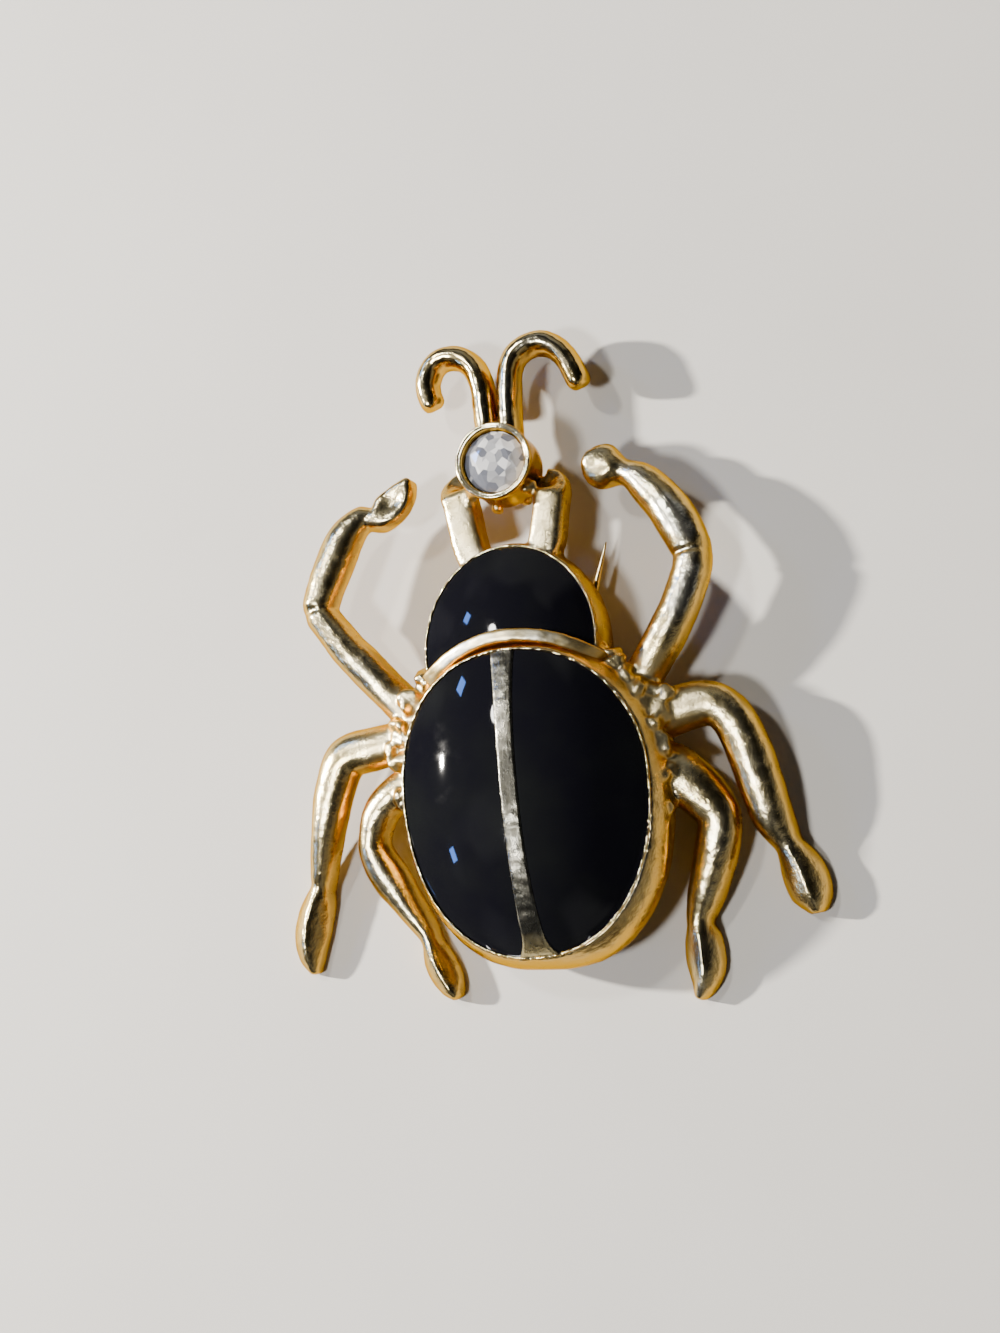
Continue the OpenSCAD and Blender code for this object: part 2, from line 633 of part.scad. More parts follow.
// Two ears on a cast pad carry the rivet.
module hinge_ears() {
    on_pin(0) difference() {
        union() {
            for (s = [-1, 1]) translate([s * (ears_w - ear_t) / 2, 0, 0]) {
                rotate([0, 90, 0]) cylinder(r = ear_r, h = ear_t, center = true);
                translate([0, 0, ear_r]) cube([ear_t, 2 * ear_r, 2 * ear_r], center = true);
            }
            translate([-ears_w / 2, -ear_r - pad_out, eye_r + pad_up])
                cube([ears_w, 2 * (ear_r + pad_out), hinge_top - eye_r - pad_up]);
        }
        rotate([0, 90, 0]) cylinder(d = rivet_d, h = 2 * ears_w, center = true);
    }
}

// A hook-shaped catch, open towards the table, with its foot level with the feet of the legs.
module catch() {
    w = catch_half;
    on_pin(catch_at) rotate([90, 0, 0]) difference() {
        linear_extrude(height = catch_l, center = true) polygon([
            [-0.6 * w, -pin_z], [-w, -0.6 * pin_z], [-w, 0.4 * w], [-0.72 * w, catch_top],
            [0.72 * w, catch_top], [w, 0.4 * w], [w, -0.6 * pin_z], [0.6 * w, -pin_z]
        ]);
        cylinder(r = pin_d / 2 + catch_gap, h = 2 * catch_l, center = true);
        translate([0, -pin_z, 0]) cube([pin_d + catch_gap, 2 * pin_z, 2 * catch_l], center = true);
    }
}

module casting() {
    color(gold) in_frame() {
        cup(true);
        translate([shield_x, 0, 0]) cup(false);
        stripe();
        collar();
        bezel();
        strut(-1, 1.04);
        strut(1, 1);
        antenna(-1, antenna_left);
        antenna(1, antenna_right);
        leg(-1, front_root, 1, front_left);
        leg(1, front_root, 1, front_right);
        leg(-1, middle_root, -1, middle_left);
        leg(1, middle_root, -1, middle_right);
        leg(-1, rear_root, -1, rear_left);
        leg(1, rear_root, -1, rear_right);
        hinge_ears();
        catch();
    }
}

module hinge_rivet() {
    color(steel) in_frame() on_pin(0) rotate([0, 90, 0])
        cylinder(r = rivet_d / 2 - rivet_slip, h = ears_w + 2 * rivet_out, center = true);
}

// The pin: an eye on the rivet, a straight wire and a tapered point.
module pin_stem() {
    color(steel) in_frame() on_pin(0) difference() {
        union() {
            rotate([0, 90, 0]) cylinder(r = eye_r, h = eye_w, center = true);
            rotate([-90, 0, 0]) cylinder(d = pin_d, h = pin_l - point_l);
            translate([0, pin_l - point_l, 0]) rotate([-90, 0, 0])
                cylinder(d1 = pin_d, d2 = tip_d, h = point_l);
        }
        rotate([0, 90, 0]) cylinder(r = rivet_d / 2 + pin_run, h = 2 * eye_w, center = true);
    }
}

casting();
enamel_shield();
wing_enamel(-1);  // enamel_wing_left
wing_enamel(1);  // enamel_wing_right
stone();
hinge_rivet();
pin_stem();
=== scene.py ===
"""Looks of a beetle brooch: gilded casting, black enamel, clear stone and hinged pin.

The table's surface is z = 0. Sizes are in metres, and plan places are given from the middle
of the beetle's stripe, with x to its right and y to its head.
"""

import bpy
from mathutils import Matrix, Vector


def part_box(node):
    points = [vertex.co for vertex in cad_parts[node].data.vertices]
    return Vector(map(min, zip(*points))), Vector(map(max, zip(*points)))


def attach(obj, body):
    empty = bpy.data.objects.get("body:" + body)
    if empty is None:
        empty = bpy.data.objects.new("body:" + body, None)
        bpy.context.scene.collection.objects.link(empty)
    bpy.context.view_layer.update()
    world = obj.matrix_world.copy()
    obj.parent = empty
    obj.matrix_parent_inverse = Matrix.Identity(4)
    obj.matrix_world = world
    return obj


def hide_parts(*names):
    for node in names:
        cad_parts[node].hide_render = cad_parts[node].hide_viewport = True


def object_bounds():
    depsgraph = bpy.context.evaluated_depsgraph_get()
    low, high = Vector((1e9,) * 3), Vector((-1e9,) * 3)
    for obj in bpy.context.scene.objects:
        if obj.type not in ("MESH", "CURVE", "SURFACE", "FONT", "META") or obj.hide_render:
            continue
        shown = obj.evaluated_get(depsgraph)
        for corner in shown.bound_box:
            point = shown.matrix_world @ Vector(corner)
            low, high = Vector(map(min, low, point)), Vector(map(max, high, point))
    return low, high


bl_info = {
    "name": "Beetle Brooch",
    "version": (1, 0, 0),
    "blender": (4, 5, 0),
    "location": "View3D > Sidebar > Brooch",
    "description": "Builds a beetle brooch on its packed frame",
    "category": "Object",
}

import math

import bmesh
import bpy
import numpy as np
from mathutils import Matrix, Vector, noise

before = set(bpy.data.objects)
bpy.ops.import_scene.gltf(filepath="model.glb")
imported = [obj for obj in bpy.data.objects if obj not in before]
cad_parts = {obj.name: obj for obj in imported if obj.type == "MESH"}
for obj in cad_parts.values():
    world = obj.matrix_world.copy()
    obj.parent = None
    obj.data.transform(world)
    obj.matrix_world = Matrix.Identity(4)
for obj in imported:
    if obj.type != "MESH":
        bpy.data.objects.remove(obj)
CAD_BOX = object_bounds()
MM = 0.001

STONE_LOW, STONE_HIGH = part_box("stone")
SHIELD_LOW, SHIELD_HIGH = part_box("enamel_shield")
RIVET_LOW, RIVET_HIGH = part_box("hinge_rivet")

# The beetle's long axis in plan, and the stone's middle along it.
AXIS_X = (STONE_LOW.x + STONE_HIGH.x) / 2
HEAD_Y = (STONE_LOW.y + STONE_HIGH.y) / 2
HEAD = Vector((AXIS_X, HEAD_Y, 0))


def length(name, text, value):
    """A length in metres for a group of sizes."""
    return bpy.props.FloatProperty(
        name=name, description=text, default=value, min=0.0, unit="LENGTH", precision=5)


def colour(name, text, value):
    """A colour for a group of finishes."""
    return bpy.props.FloatVectorProperty(
        name=name, description=text, default=value, size=4, subtype="COLOR", min=0, max=1)


def share(name, text, value):
    """A plain share or factor."""
    return bpy.props.FloatProperty(name=name, description=text, default=value, min=0.0, max=1.0)


class BROOCH_PG_body(bpy.types.PropertyGroup):
    """Sizes of the beetle's body."""

    wing_width: length("Wing cases' width", "Width across the two enamel wing cases", 0.0164)
    wing_back: length("Back length", "Length behind the widest line", 0.0109)
    wing_front: length("Front length", "Length in front of the widest line", 0.0086)
    rim_height: length("Rim height", "Side rim above the table", 0.0055)
    wing_rise: length("Wing rise", "Rise of the wing cases above their side rim", 0.0034)
    stripe_width: length("Stripe", "Width of the stripe at its middle", 0.00115)
    shield_width: length("Shield's width", "Width of the enamel shield", 0.0116)
    shield_length: length("Shield's length", "Length of the shield", 0.0066)
    shield_height: length("Shield's rim", "Shield's rim above the table", 0.0045)
    shield_rise: length("Shield's rise", "Rise of the shield above its rim", 0.0027)
    collar_width: length("Collar", "Width of the raised band", 0.00085)
    collar_radius: length("Collar's radius", "Radius of the band's curve in plan", 0.010)
    collar_rise: length("Collar's rise", "Height of the band over the shield", 0.00045)
    rim_width: length("Rim", "Width of the thin rim round the enamel", 0.00015)
    collar_gap: length("Groove", "Groove between the band and the wing cases' rim", 0.00045)
    bulge: length("Bulge", "Bulge of the outer wall beyond the enamel", 0.001)
    shield_bulge: share("Shield's bulge", "Bulge of the shield's wall as a share of it", 0.5)
    side_swell: share("Swell", "How much more the wall bulges at the right rear", 0.45)
    tail_slim: share("Slim tail", "How much less the wall bulges at the tail", 0.42)
    edge_height: length("Lower edge", "Casting's lower edge above the table", 0.002)
    wall: length("Wall", "Thickness of the wall at its lower edge", 0.0019)
    floor: length("Floor", "Thickness of enamel and metal together", 0.0019)


class BROOCH_PG_limbs(bpy.types.PropertyGroup):
    """Sizes of the legs, the neck and the antennae."""

    leg_out: length("Leg reach", "Reach of the legs sideways from their roots", 0.010)
    leg_run: length("Leg run", "Reach of the legs lengthways from their roots", 0.015)
    leg_height: length("Knee height", "Front knees above the table", 0.005)
    root_inset: length("Root inset", "How far inside the wing cases' edge the legs start", 0.0002)
    leg_width: length("Leg width", "Width of a leg", 0.0023)
    leg_depth: length("Leg depth", "Depth of a leg", 0.0020)
    strut_width: length("Strut width", "Width of a neck strut", 0.0022)
    neck_length: length("Neck", "Shield's rim to the bezel's centre", 0.0057)
    neck_width: length("Neck spread", "Spread of the two struts", 0.0062)
    antenna_length: length("Antenna", "Length in front of the bezel's centre", 0.0085)
    antenna_width: length("Antenna width", "Width of an antenna rod", 0.00165)
    antenna_depth: length("Antenna depth", "Depth of an antenna rod", 0.0017)
    antenna_height: length("Antenna height", "Antennae above the table", 0.0041)


class BROOCH_PG_pin(bpy.types.PropertyGroup):
    """Sizes of the pin's hinge and catch."""

    turn: bpy.props.FloatProperty(
        name="Turn", description="Angle in plan between the pin and the beetle's axis",
        default=math.radians(19.5), subtype="ANGLE")
    bore: length("Bore", "Diameter of the rivet's bore in the ears", 0.0007)
    ear_radius: length("Ear", "Radius of the ears round the rivet", 0.0011)
    ear_thickness: length("Ear thickness", "Thickness of each ear", 0.0005)
    ears_width: length("Ears' width", "Width over both ears", 0.0020)
    catch_at: length("Catch", "Distance of the catch from the rivet", 0.0182)
    catch_length: length("Catch length", "Length of the catch along the pin", 0.0014)
    catch_half: length("Half width", "Half the width of the catch", 0.00125)
    slot: length("Slot", "Width of the catch's slot for the pin", 0.0009)


class BROOCH_PG_finish(bpy.types.PropertyGroup):
    """Colours of metal, enamel and floor."""

    gold_top: colour("Gold", "Gold on the tops", (0.66, 0.55, 0.29, 1))
    # The side walls' gold is painted shade and a painted warm reflection: the gold made darker and oranger
    # where surfaces face sideways.
    gold_side_painted_shade: colour("Shaded gold", "Gold on the side walls", (0.62, 0.36, 0.06, 1))
    gold_worn: colour("Worn gold", "Silvery gold where it is rubbed", (0.86, 0.83, 0.70, 1))
    gold_edge: colour("Gold edge", "Gold seen at a flat angle", (0.80, 0.58, 0.26, 1))
    crevice: colour("Crevices", "Tarnish in the deep places", (0.16, 0.08, 0.02, 1))
    enamel: colour("Enamel", "Black enamel", (0.004, 0.004, 0.006, 1))
    stripe: colour("Stripe", "Brushed metal of the stripe", (0.17, 0.165, 0.14, 1))
    floor: colour("Floor", "Plain pale floor", (0.58, 0.56, 0.53, 1))


def sizes():
    """The scene's three groups of values."""
    scene = bpy.context.scene
    return scene.brooch_body, scene.brooch_limbs, scene.brooch_finish


# Plan geometry of the body, in metres from the middle of the stripe.

# The wing cases: the line of their greatest width, and how square and how full they are.
WING_LINE = 0.001
WING_POWER = 2.15
WING_CREST = 0.75
WING_STRETCH = 1.5
# The outer wall's bulge: where it swells, how narrowly, and how much less it is on the left.
SWELL_AT = math.radians(-60)
SWELL_FOCUS = 3
SLIM_FOCUS = 14
LEFT_SLIM = 0.35
# The stripe: how much wider its ends are, and where and how much its tail widens more.
STRIPE_FLARE = 0.4
TAIL_START = 0.88
TAIL_WIDENING = 0.0005
# The shield: the start and the middle of its oval, and its dome.
SHIELD_LAP = 0.0002
SHIELD_MIDDLE = 0.38
SHIELD_CREST = 0.7
SHIELD_SPREAD = 1.07
SHIELD_BEHIND = 0.0009
SHIELD_AHEAD = 0.001
# The enamel's depth, the metal's middle under it, and the seam between collar and shield.
ENAMEL_DEPTH = 0.0007
METAL_MIDDLE = 0.0016
COLLAR_SEAM = 0.0001


def signed_power(value, power):
    return math.copysign(abs(value) ** power, value)


class Plan:
    """Outlines and heights of the body, from the values of its group of sizes."""

    def __init__(self):
        self.b, self.l, _ = sizes()
        b = self.b
        self.collar_y = WING_LINE + b.wing_front + b.rim_width + b.collar_gap + b.collar_width / 2
        self.collar_c = self.collar_y - b.collar_radius
        self.shield_y = self.collar_y - SHIELD_LAP
        self.shield_top = self.shield_y + b.shield_length
        self.shield_c = self.shield_y + SHIELD_MIDDLE * b.shield_length
        self.head_y = self.shield_top + self.l.neck_length
        self.origin = Vector((AXIS_X, HEAD_Y - self.head_y, 0))
        self.shield_x = (SHIELD_LOW.x + SHIELD_HIGH.x) / 2 - AXIS_X

    def wing_point(self, angle, grow=0.0):
        b = self.b
        c, s = math.cos(angle), math.sin(angle)
        reach = b.wing_front if s > 0 else b.wing_back
        return ((b.wing_width / 2 + grow) * signed_power(c, 2 / WING_POWER),
                WING_LINE + (reach + grow) * signed_power(s, 2 / WING_POWER))

    def wall_point(self, angle, grow):
        """A point of the outer wall: more bulge at the right rear, less at the tail and the left."""
        uneven = 1 + self.b.side_swell * max(0.0, math.cos(angle - SWELL_AT)) ** SWELL_FOCUS
        uneven -= self.b.tail_slim * max(0.0, -math.sin(angle)) ** SLIM_FOCUS
        uneven -= LEFT_SLIM * max(0.0, -math.cos(angle)) ** 2
        return self.wing_point(angle, grow * uneven)

    def wing_dome(self, x, y):
        b = self.b
        dx = x / (b.wing_width / 2)
        dy = (y - WING_LINE) / (WING_STRETCH * b.wing_front if y > WING_LINE else b.wing_back)
        return b.rim_height + b.wing_rise * max(0.0, 1 - dx * dx - dy * dy) ** WING_CREST

    def collar_line(self, x, grow=0.0):
        return self.collar_c + math.sqrt((self.b.collar_radius + grow) ** 2 - x * x)

    def shield_rear(self, x, grow=0.0):
        return self.collar_line(x, self.b.collar_width / 2 + COLLAR_SEAM - grow)

    def shield_edge(self, grow=0.0, oval=96, arc=48):
        """The shield's outline from its right corner round the front to the left, then back."""
        a = self.b.shield_width / 2 + grow
        b = self.b.shield_length + grow
        low = math.asin((self.shield_rear(a, grow) - self.shield_y) / b)
        corner = a * math.cos(low)
        points = []
        for i in range(oval + 1):
            t = low + (math.pi - 2 * low) * i / oval
            points.append((a * math.cos(t), self.shield_y + b * math.sin(t)))
        for i in range(1, arc):
            x = -corner + 2 * corner * i / arc
            points.append((x, self.shield_rear(x, grow)))
        return points

    def shield_dome(self, x, y):
        b = self.b
        dx = x / (b.shield_width / 2 * SHIELD_SPREAD)
        dy = (y - self.shield_y + SHIELD_BEHIND) / (b.shield_length + SHIELD_AHEAD)
        return b.shield_height + b.shield_rise * max(0.0, 1 - dx * dx - dy * dy) ** SHIELD_CREST

    def collar_top(self, x):
        return self.shield_dome(x, self.collar_line(x, self.b.collar_width / 2)) + self.b.collar_rise

    def stripe_half(self, y):
        b = self.b
        u = (y - WING_LINE) / (b.wing_front if y > WING_LINE else b.wing_back)
        tail = max(0.0, -u - TAIL_START) / (1 - TAIL_START)
        flare = 1 + STRIPE_FLARE * min(1.0, abs(u)) ** 3
        return b.stripe_width / 2 * flare + TAIL_WIDENING * tail * tail


# Meshes.

def outward_mesh(name, points, faces):
    """A mesh whose faces look outwards."""
    mesh = bpy.data.meshes.new(name)
    mesh.from_pydata(points, [], faces)
    mesh.validate()
    made = bmesh.new()
    made.from_mesh(mesh)
    bmesh.ops.recalc_face_normals(made, faces=made.faces)
    made.to_mesh(mesh)
    made.free()
    return mesh


def taken(made):
    """The points and faces of a bmesh, which is freed."""
    made.verts.index_update()
    points = [tuple(v.co) for v in made.verts]
    faces = [tuple(v.index for v in f.verts) for f in made.faces]
    made.free()
    return points, faces


def new_piece(name, points, faces, smooth=True, origin=None, normals=None):
    """A mesh piece in the row frame, riding on the brooch; zero normals are left to the mesh."""
    shift = Plan().origin if origin is None else origin
    mesh = outward_mesh(name, [Vector(p) + shift for p in points], faces)
    if smooth:
        mesh.shade_smooth()
    if normals:
        mesh.normals_split_custom_set_from_vertices(normals)
    piece = bpy.data.objects.new(name, mesh)
    bpy.context.scene.collection.objects.link(piece)
    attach(piece, "brooch")
    return piece


def ring_faces(rings, loop=False):
    """Quads between rings of as many points each, with fans at both ends or as a closed loop."""
    count = len(rings[0])
    points = [p for ring in rings for p in ring]
    faces = []
    for j in range(len(rings) if loop else len(rings) - 1):
        base, ahead = j * count, (j + 1) % len(rings) * count
        for i in range(count):
            k = (i + 1) % count
            faces.append((base + i, base + k, ahead + k, ahead + i))
    if loop:
        return points, faces
    for j in (0, len(rings) - 1):
        points.append(tuple(sum(p[k] for p in rings[j]) / count for k in range(3)))
        hub = len(points) - 1
        for i in range(count):
            faces.append((j * count + i, j * count + (i + 1) % count, hub))
    return points, faces


def joined(parts):
    """One list of points and faces from several."""
    points, faces = [], []
    for more_points, more_faces in parts:
        base = len(points)
        points += more_points
        faces += [tuple(base + i for i in face) for face in more_faces]
    return points, faces


def spline(rows, step):
    """Rows of numbers along a Catmull-Rom curve whose first two columns are a place in plan."""
    rows = [np.array(r, float) for r in rows]
    rows = [2 * rows[0] - rows[1]] + rows + [2 * rows[-1] - rows[-2]]
    out = []
    for k in range(1, len(rows) - 2):
        p0, p1, p2, p3 = rows[k - 1:k + 3]
        count = max(2, int(math.hypot(*(p2 - p1)[:2]) / step))
        for i in range(count):
            t = i / count
            out.append(0.5 * (2 * p1 + (p2 - p0) * t + (2 * p0 - 5 * p1 + 4 * p2 - p3) * t * t
                              + (3 * p1 - p0 - 3 * p2 + p3) * t ** 3))
    out.append(rows[-2])
    return out


def limb_section(width, depth, ridge, dish, square=2.2, arch=0.8, steps=22):
    """A limb's section from its right foot over the crown to the left: offsets across and down."""
    half, crown = width / 2, arch * depth
    wall = [(half - 0.10 * width, depth), (half - 0.03 * width, depth - 0.03 * width),
            (half, depth - 0.10 * width)]
    over = []
    for i in range(steps + 1):
        u = math.cos(math.pi * i / steps)
        rise = max(0.0, 1 - abs(u) ** square) ** (1 / square)
        drop = (1 - ridge) * (1 - rise) + ridge * abs(u) ** 1.1
        over.append((half * u, crown * drop + dish * 0.45 * width * (1 - u * u) ** 2))
    return wall + over + [(-x, z) for x, z in reversed(wall)]


def section_rings(rows, square=2.2, arch=0.8):
    """Rings of the limb section, square to a path in plan."""
    rings = []
    for i, row in enumerate(rows):
        ahead = rows[min(len(rows) - 1, i + 1)][:2] - rows[max(0, i - 1)][:2]
        ahead = ahead / np.linalg.norm(ahead)
        side = (ahead[1], -ahead[0])
        rings.append([(row[0] + side[0] * across, row[1] + side[1] * across, row[2] - down)
                      for across, down in limb_section(*row[3:7], square, arch)])
    return rings


def swept(rows, step=0.00022, square=2.2, arch=0.8):
    """A closed limb along rows of x, y, top, width, depth, ridge and dish."""
    return ring_faces(section_rings(spline(rows, step), square, arch))


# Leg tables. Columns: out from the root and along as shares of the reach and the run, top as a
# share of the knee height, width and depth as shares of a leg's. Most of the feet's rows add
# the ridge and the dish of their crown.
FRONT_LEFT = [
    (0.06, -0.12, 0.78, 1.15, 0.9), (0.18, -0.06, 0.8, 1.16, 0.95), (0.327, 0.053, 0.83, 1.15, 1),
    (0.422, 0.131, 0.88, 1.13, 1), (0.533, 0.224, 0.93, 1.15, 1), (0.649, 0.321, 0.97, 1.1, 1),
    (0.759, 0.43, 1, 1.02, 1), (0.815, 0.488, 1, 1, 1), (0.829, 0.508, 0.94, 0.95, 0.95),
    (0.827, 0.528, 1, 1.05, 1), (0.793, 0.583, 1.01, 1.1, 1), (0.702, 0.717, 1, 1.2, 1),
    (0.607, 0.829, 0.98, 1.11, 0.98), (0.535, 0.884, 0.95, 0.96, 0.94),
    (0.461, 0.912, 0.91, 0.82, 0.88), (0.405, 0.906, 0.87, 0.7, 0.8),
    (0.345, 0.905, 0.93, 0.92, 0.88, 0.1, 0.2), (0.275, 0.928, 0.97, 1.05, 0.92, 0, 0.6),
    (0.2, 0.965, 0.96, 0.98, 0.9, 0, 0.7), (0.134, 1.011, 0.93, 0.72, 0.8, 0, 0.4),
    (0.087, 1.052, 0.88, 0.28, 0.6),
]
FRONT_RIGHT = [
    (0.04, -0.12, 0.78, 1.2, 0.9), (0.1, -0.075, 0.8, 1.22, 0.95), (0.208, 0.008, 0.82, 1.22, 1),
    (0.282, 0.067, 0.88, 1.13, 1), (0.407, 0.175, 0.94, 1.17, 1), (0.523, 0.291, 0.98, 1.15, 1),
    (0.624, 0.428, 1, 1.13, 1), (0.647, 0.498, 1, 1.12, 1), (0.646, 0.518, 0.94, 1.06, 0.95),
    (0.642, 0.538, 1, 1.18, 1), (0.57, 0.667, 1.01, 1.27, 1), (0.483, 0.768, 0.99, 1.22, 1),
    (0.374, 0.862, 0.96, 1.08, 0.96), (0.3, 0.905, 0.93, 0.86, 0.9), (0.245, 0.925, 0.88, 0.76, 0.8),
    (0.189, 0.941, 0.93, 1.08, 0.88, 0.1, 0), (0.134, 0.957, 0.95, 1.34, 0.9, 0.1, 0.1),
    (0.075, 0.982, 0.94, 1.26, 0.88, 0.1, 0.1), (0.03, 1.002, 0.91, 0.92, 0.8),
    (0.004, 1.015, 0.87, 0.45, 0.66),
]
MIDDLE_LEFT = [
    (-0.056, -0.05, 0.78, 1.2, 0.9), (0.06, -0.055, 0.78, 1.24, 0.95), (0.182, -0.058, 0.79, 1.25, 1),
    (0.378, -0.046, 0.81, 1.31, 1), (0.563, -0.028, 0.8, 1.33, 1), (0.646, 0.038, 0.78, 1.27, 1),
    (0.72, 0.15, 0.74, 1.2, 1), (0.777, 0.271, 0.68, 1.05, 1), (0.836, 0.393, 0.58, 0.92, 1),
    (0.885, 0.5, 0.47, 0.78, 1), (0.905, 0.545, 0.41, 0.68, 0.98),
    (0.94, 0.6, 0.42, 0.96, 1.06, 0.3, 0), (0.99, 0.675, 0.43, 1.14, 1.09, 0.5, 0),
    (1.025, 0.76, 0.41, 1.14, 1.03, 0.5, 0), (1.036, 0.83, 0.36, 0.96, 0.9, 0.5, 0),
    (1.026, 0.885, 0.3, 0.68, 0.74, 0.3, 0), (1.015, 0.932, 0.22, 0.28, 0.52),
]
MIDDLE_RIGHT = [
    (-0.046, 0, 0.78, 1.3, 0.9), (0.06, -0.012, 0.79, 1.32, 0.95), (0.163, -0.025, 0.8, 1.34, 1),
    (0.333, -0.048, 0.83, 1.36, 1), (0.49, -0.045, 0.82, 1.25, 1), (0.6, 0.028, 0.79, 1.26, 1),
    (0.677, 0.169, 0.74, 1.3, 1), (0.726, 0.319, 0.68, 1.28, 1), (0.772, 0.465, 0.58, 1.16, 1),
    (0.818, 0.545, 0.47, 0.94, 1), (0.84, 0.58, 0.42, 0.82, 0.98),
    (0.868, 0.63, 0.42, 1.02, 1.05, 0.3, 0), (0.904, 0.695, 0.43, 1.25, 1.09, 0.45, 0),
    (0.939, 0.775, 0.42, 1.26, 1.06, 0.45, 0), (0.962, 0.835, 0.36, 0.95, 0.9, 0.3, 0),
    (0.97, 0.88, 0.27, 0.45, 0.66),
]
REAR_LEFT = [
    (-0.04, -0.055, 0.76, 1.25, 0.9), (0.08, -0.05, 0.77, 1.2, 0.95), (0.202, -0.02, 0.76, 1.12, 1),
    (0.3, 0.03, 0.73, 1.08, 1), (0.37, 0.105, 0.69, 1, 1), (0.405, 0.185, 0.64, 0.96, 1),
    (0.392, 0.25, 0.61, 1.04, 1), (0.332, 0.342, 0.55, 1.14, 1), (0.229, 0.466, 0.46, 0.96, 1),
    (0.12, 0.591, 0.38, 0.72, 0.95), (0.092, 0.64, 0.36, 0.64, 0.9),
    (0.075, 0.69, 0.36, 0.82, 0.91, 0.3, 0), (0.052, 0.745, 0.37, 0.98, 0.93, 0.5, 0),
    (0.012, 0.805, 0.36, 0.98, 0.91, 0.5, 0), (-0.03, 0.865, 0.32, 0.7, 0.8, 0.3, 0),
    (-0.059, 0.904, 0.25, 0.28, 0.62),
]
REAR_RIGHT = [
    (-0.04, -0.03, 0.76, 1.4, 0.9), (0.113, 0.015, 0.78, 1.45, 1), (0.222, 0.087, 0.76, 1.5, 1),
    (0.319, 0.165, 0.72, 1.38, 1), (0.378, 0.24, 0.68, 1.25, 1), (0.356, 0.329, 0.64, 1.26, 1),
    (0.308, 0.421, 0.58, 1.23, 1), (0.226, 0.551, 0.48, 1.1, 1), (0.165, 0.65, 0.38, 0.86, 0.94),
    (0.155, 0.69, 0.36, 0.78, 0.9), (0.158, 0.735, 0.37, 1.02, 0.93, 0.3, 0),
    (0.161, 0.8, 0.37, 1.16, 0.93, 0.45, 0), (0.161, 0.872, 0.36, 1.1, 0.9, 0.45, 0),
    (0.135, 0.945, 0.31, 0.74, 0.77, 0.3, 0), (0.095, 1, 0.23, 0.3, 0.56),
]

# Side, root on the wing cases' outline as an angle, run forwards or back, and the table.
LEGS = [
    (-1, 45, 1, FRONT_LEFT), (1, 45, 1, FRONT_RIGHT), (-1, 22, -1, MIDDLE_LEFT),
    (1, 22, -1, MIDDLE_RIGHT), (-1, 3, -1, REAR_LEFT), (1, 3, -1, REAR_RIGHT),
]

# Antennae: out and forwards from the bezel's centre, and top, as shares.
ANTENNA_LEFT = [
    (0.11, 0.24, 1), (0.124, 0.471, 1), (0.13, 0.673, 1), (0.163, 0.827, 1), (0.222, 0.931, 1),
    (0.324, 0.997, 1), (0.439, 1.008, 0.99), (0.54, 0.953, 0.97), (0.597, 0.848, 0.95),
    (0.602, 0.746, 0.93), (0.588, 0.69, 0.92),
]
ANTENNA_RIGHT = [
    (0.07, 0.24, 1), (0.074, 0.435, 1), (0.086, 0.632, 1), (0.109, 0.8, 1), (0.158, 0.905, 1),
    (0.233, 0.965, 1), (0.326, 0.991, 1), (0.429, 0.978, 0.99), (0.517, 0.918, 0.97),
    (0.589, 0.808, 0.95), (0.633, 0.7, 0.93), (0.648, 0.65, 0.92),
]

# Struts: out as a share of the neck's spread, forwards from the rim as a share of the neck's
# length up to the step and past it, and how far the top lies down, in millimetres.
STRUT_UP = [(0.38, -0.05), (0.43, 0.10)]
STRUT_STEP = [(0.48, -0.22, 0.0), (0.52, 0.0, 0.0), (0.53, 0.06, 0.5), (0.50, 0.12, 1.2),
              (0.40, 0.17, 1.5)]
# Each strut's side, its share of the spread, and where its step is.
STRUTS = [(-1, 1.04, 0.74), (1, 1.0, 0.6)]
# The struts' top above the shield's rim, and their foot above the casting's lower edge.
STRUT_TOP, STRUT_FOOT = 0.0001, 0.0003

# Cast lumps at the legs' roots, in millimetres. Columns: place, spread, size and how many.
LUMPS = [
    (5.5, 9.6, 4.4, 0.7, 0.50, 8), (6.4, 8.4, 4.3, 0.9, 0.60, 10), (7.3, 6.7, 4.2, 1.0, 0.70, 12),
    (8.1, 4.9, 4.1, 1.0, 0.75, 12), (9.3, 5.7, 3.7, 0.7, 0.60, 8), (8.6, 3.0, 3.9, 1.0, 0.65, 10),
    (8.9, 1.0, 3.8, 0.8, 0.50, 8), (8.9, -1.2, 3.6, 0.6, 0.42, 6),
    (-6.3, 8.8, 4.1, 0.7, 0.55, 8), (-7.4, 7.4, 4.0, 0.9, 0.62, 9), (-8.3, 5.9, 3.9, 0.9, 0.62, 9),
    (-8.7, 4.1, 3.8, 0.9, 0.58, 8), (-8.9, 1.4, 3.6, 0.8, 0.50, 7),
    (-2.0, 20.9, 4.3, 0.35, 0.34, 7), (2.0, 20.9, 4.3, 0.35, 0.34, 7),
    (-0.9, 20.5, 2.3, 0.5, 0.32, 7), (1.1, 20.6, 2.3, 0.5, 0.32, 7), (2.3, 21.4, 2.6, 0.5, 0.32, 7),
]

# The casting's rubbed and grainy places, from the middle of the stripe, with their reach.
RUBBED = [((0.0098, 0.0150, 0.0045), 0.0075)]
GRAINY = [((0.0, 0.0195, 0.0050), 0.0050), ((0.0082, 0.0046, 0.0044), 0.0055),
          ((-0.0080, 0.0055, 0.0042), 0.0045)]

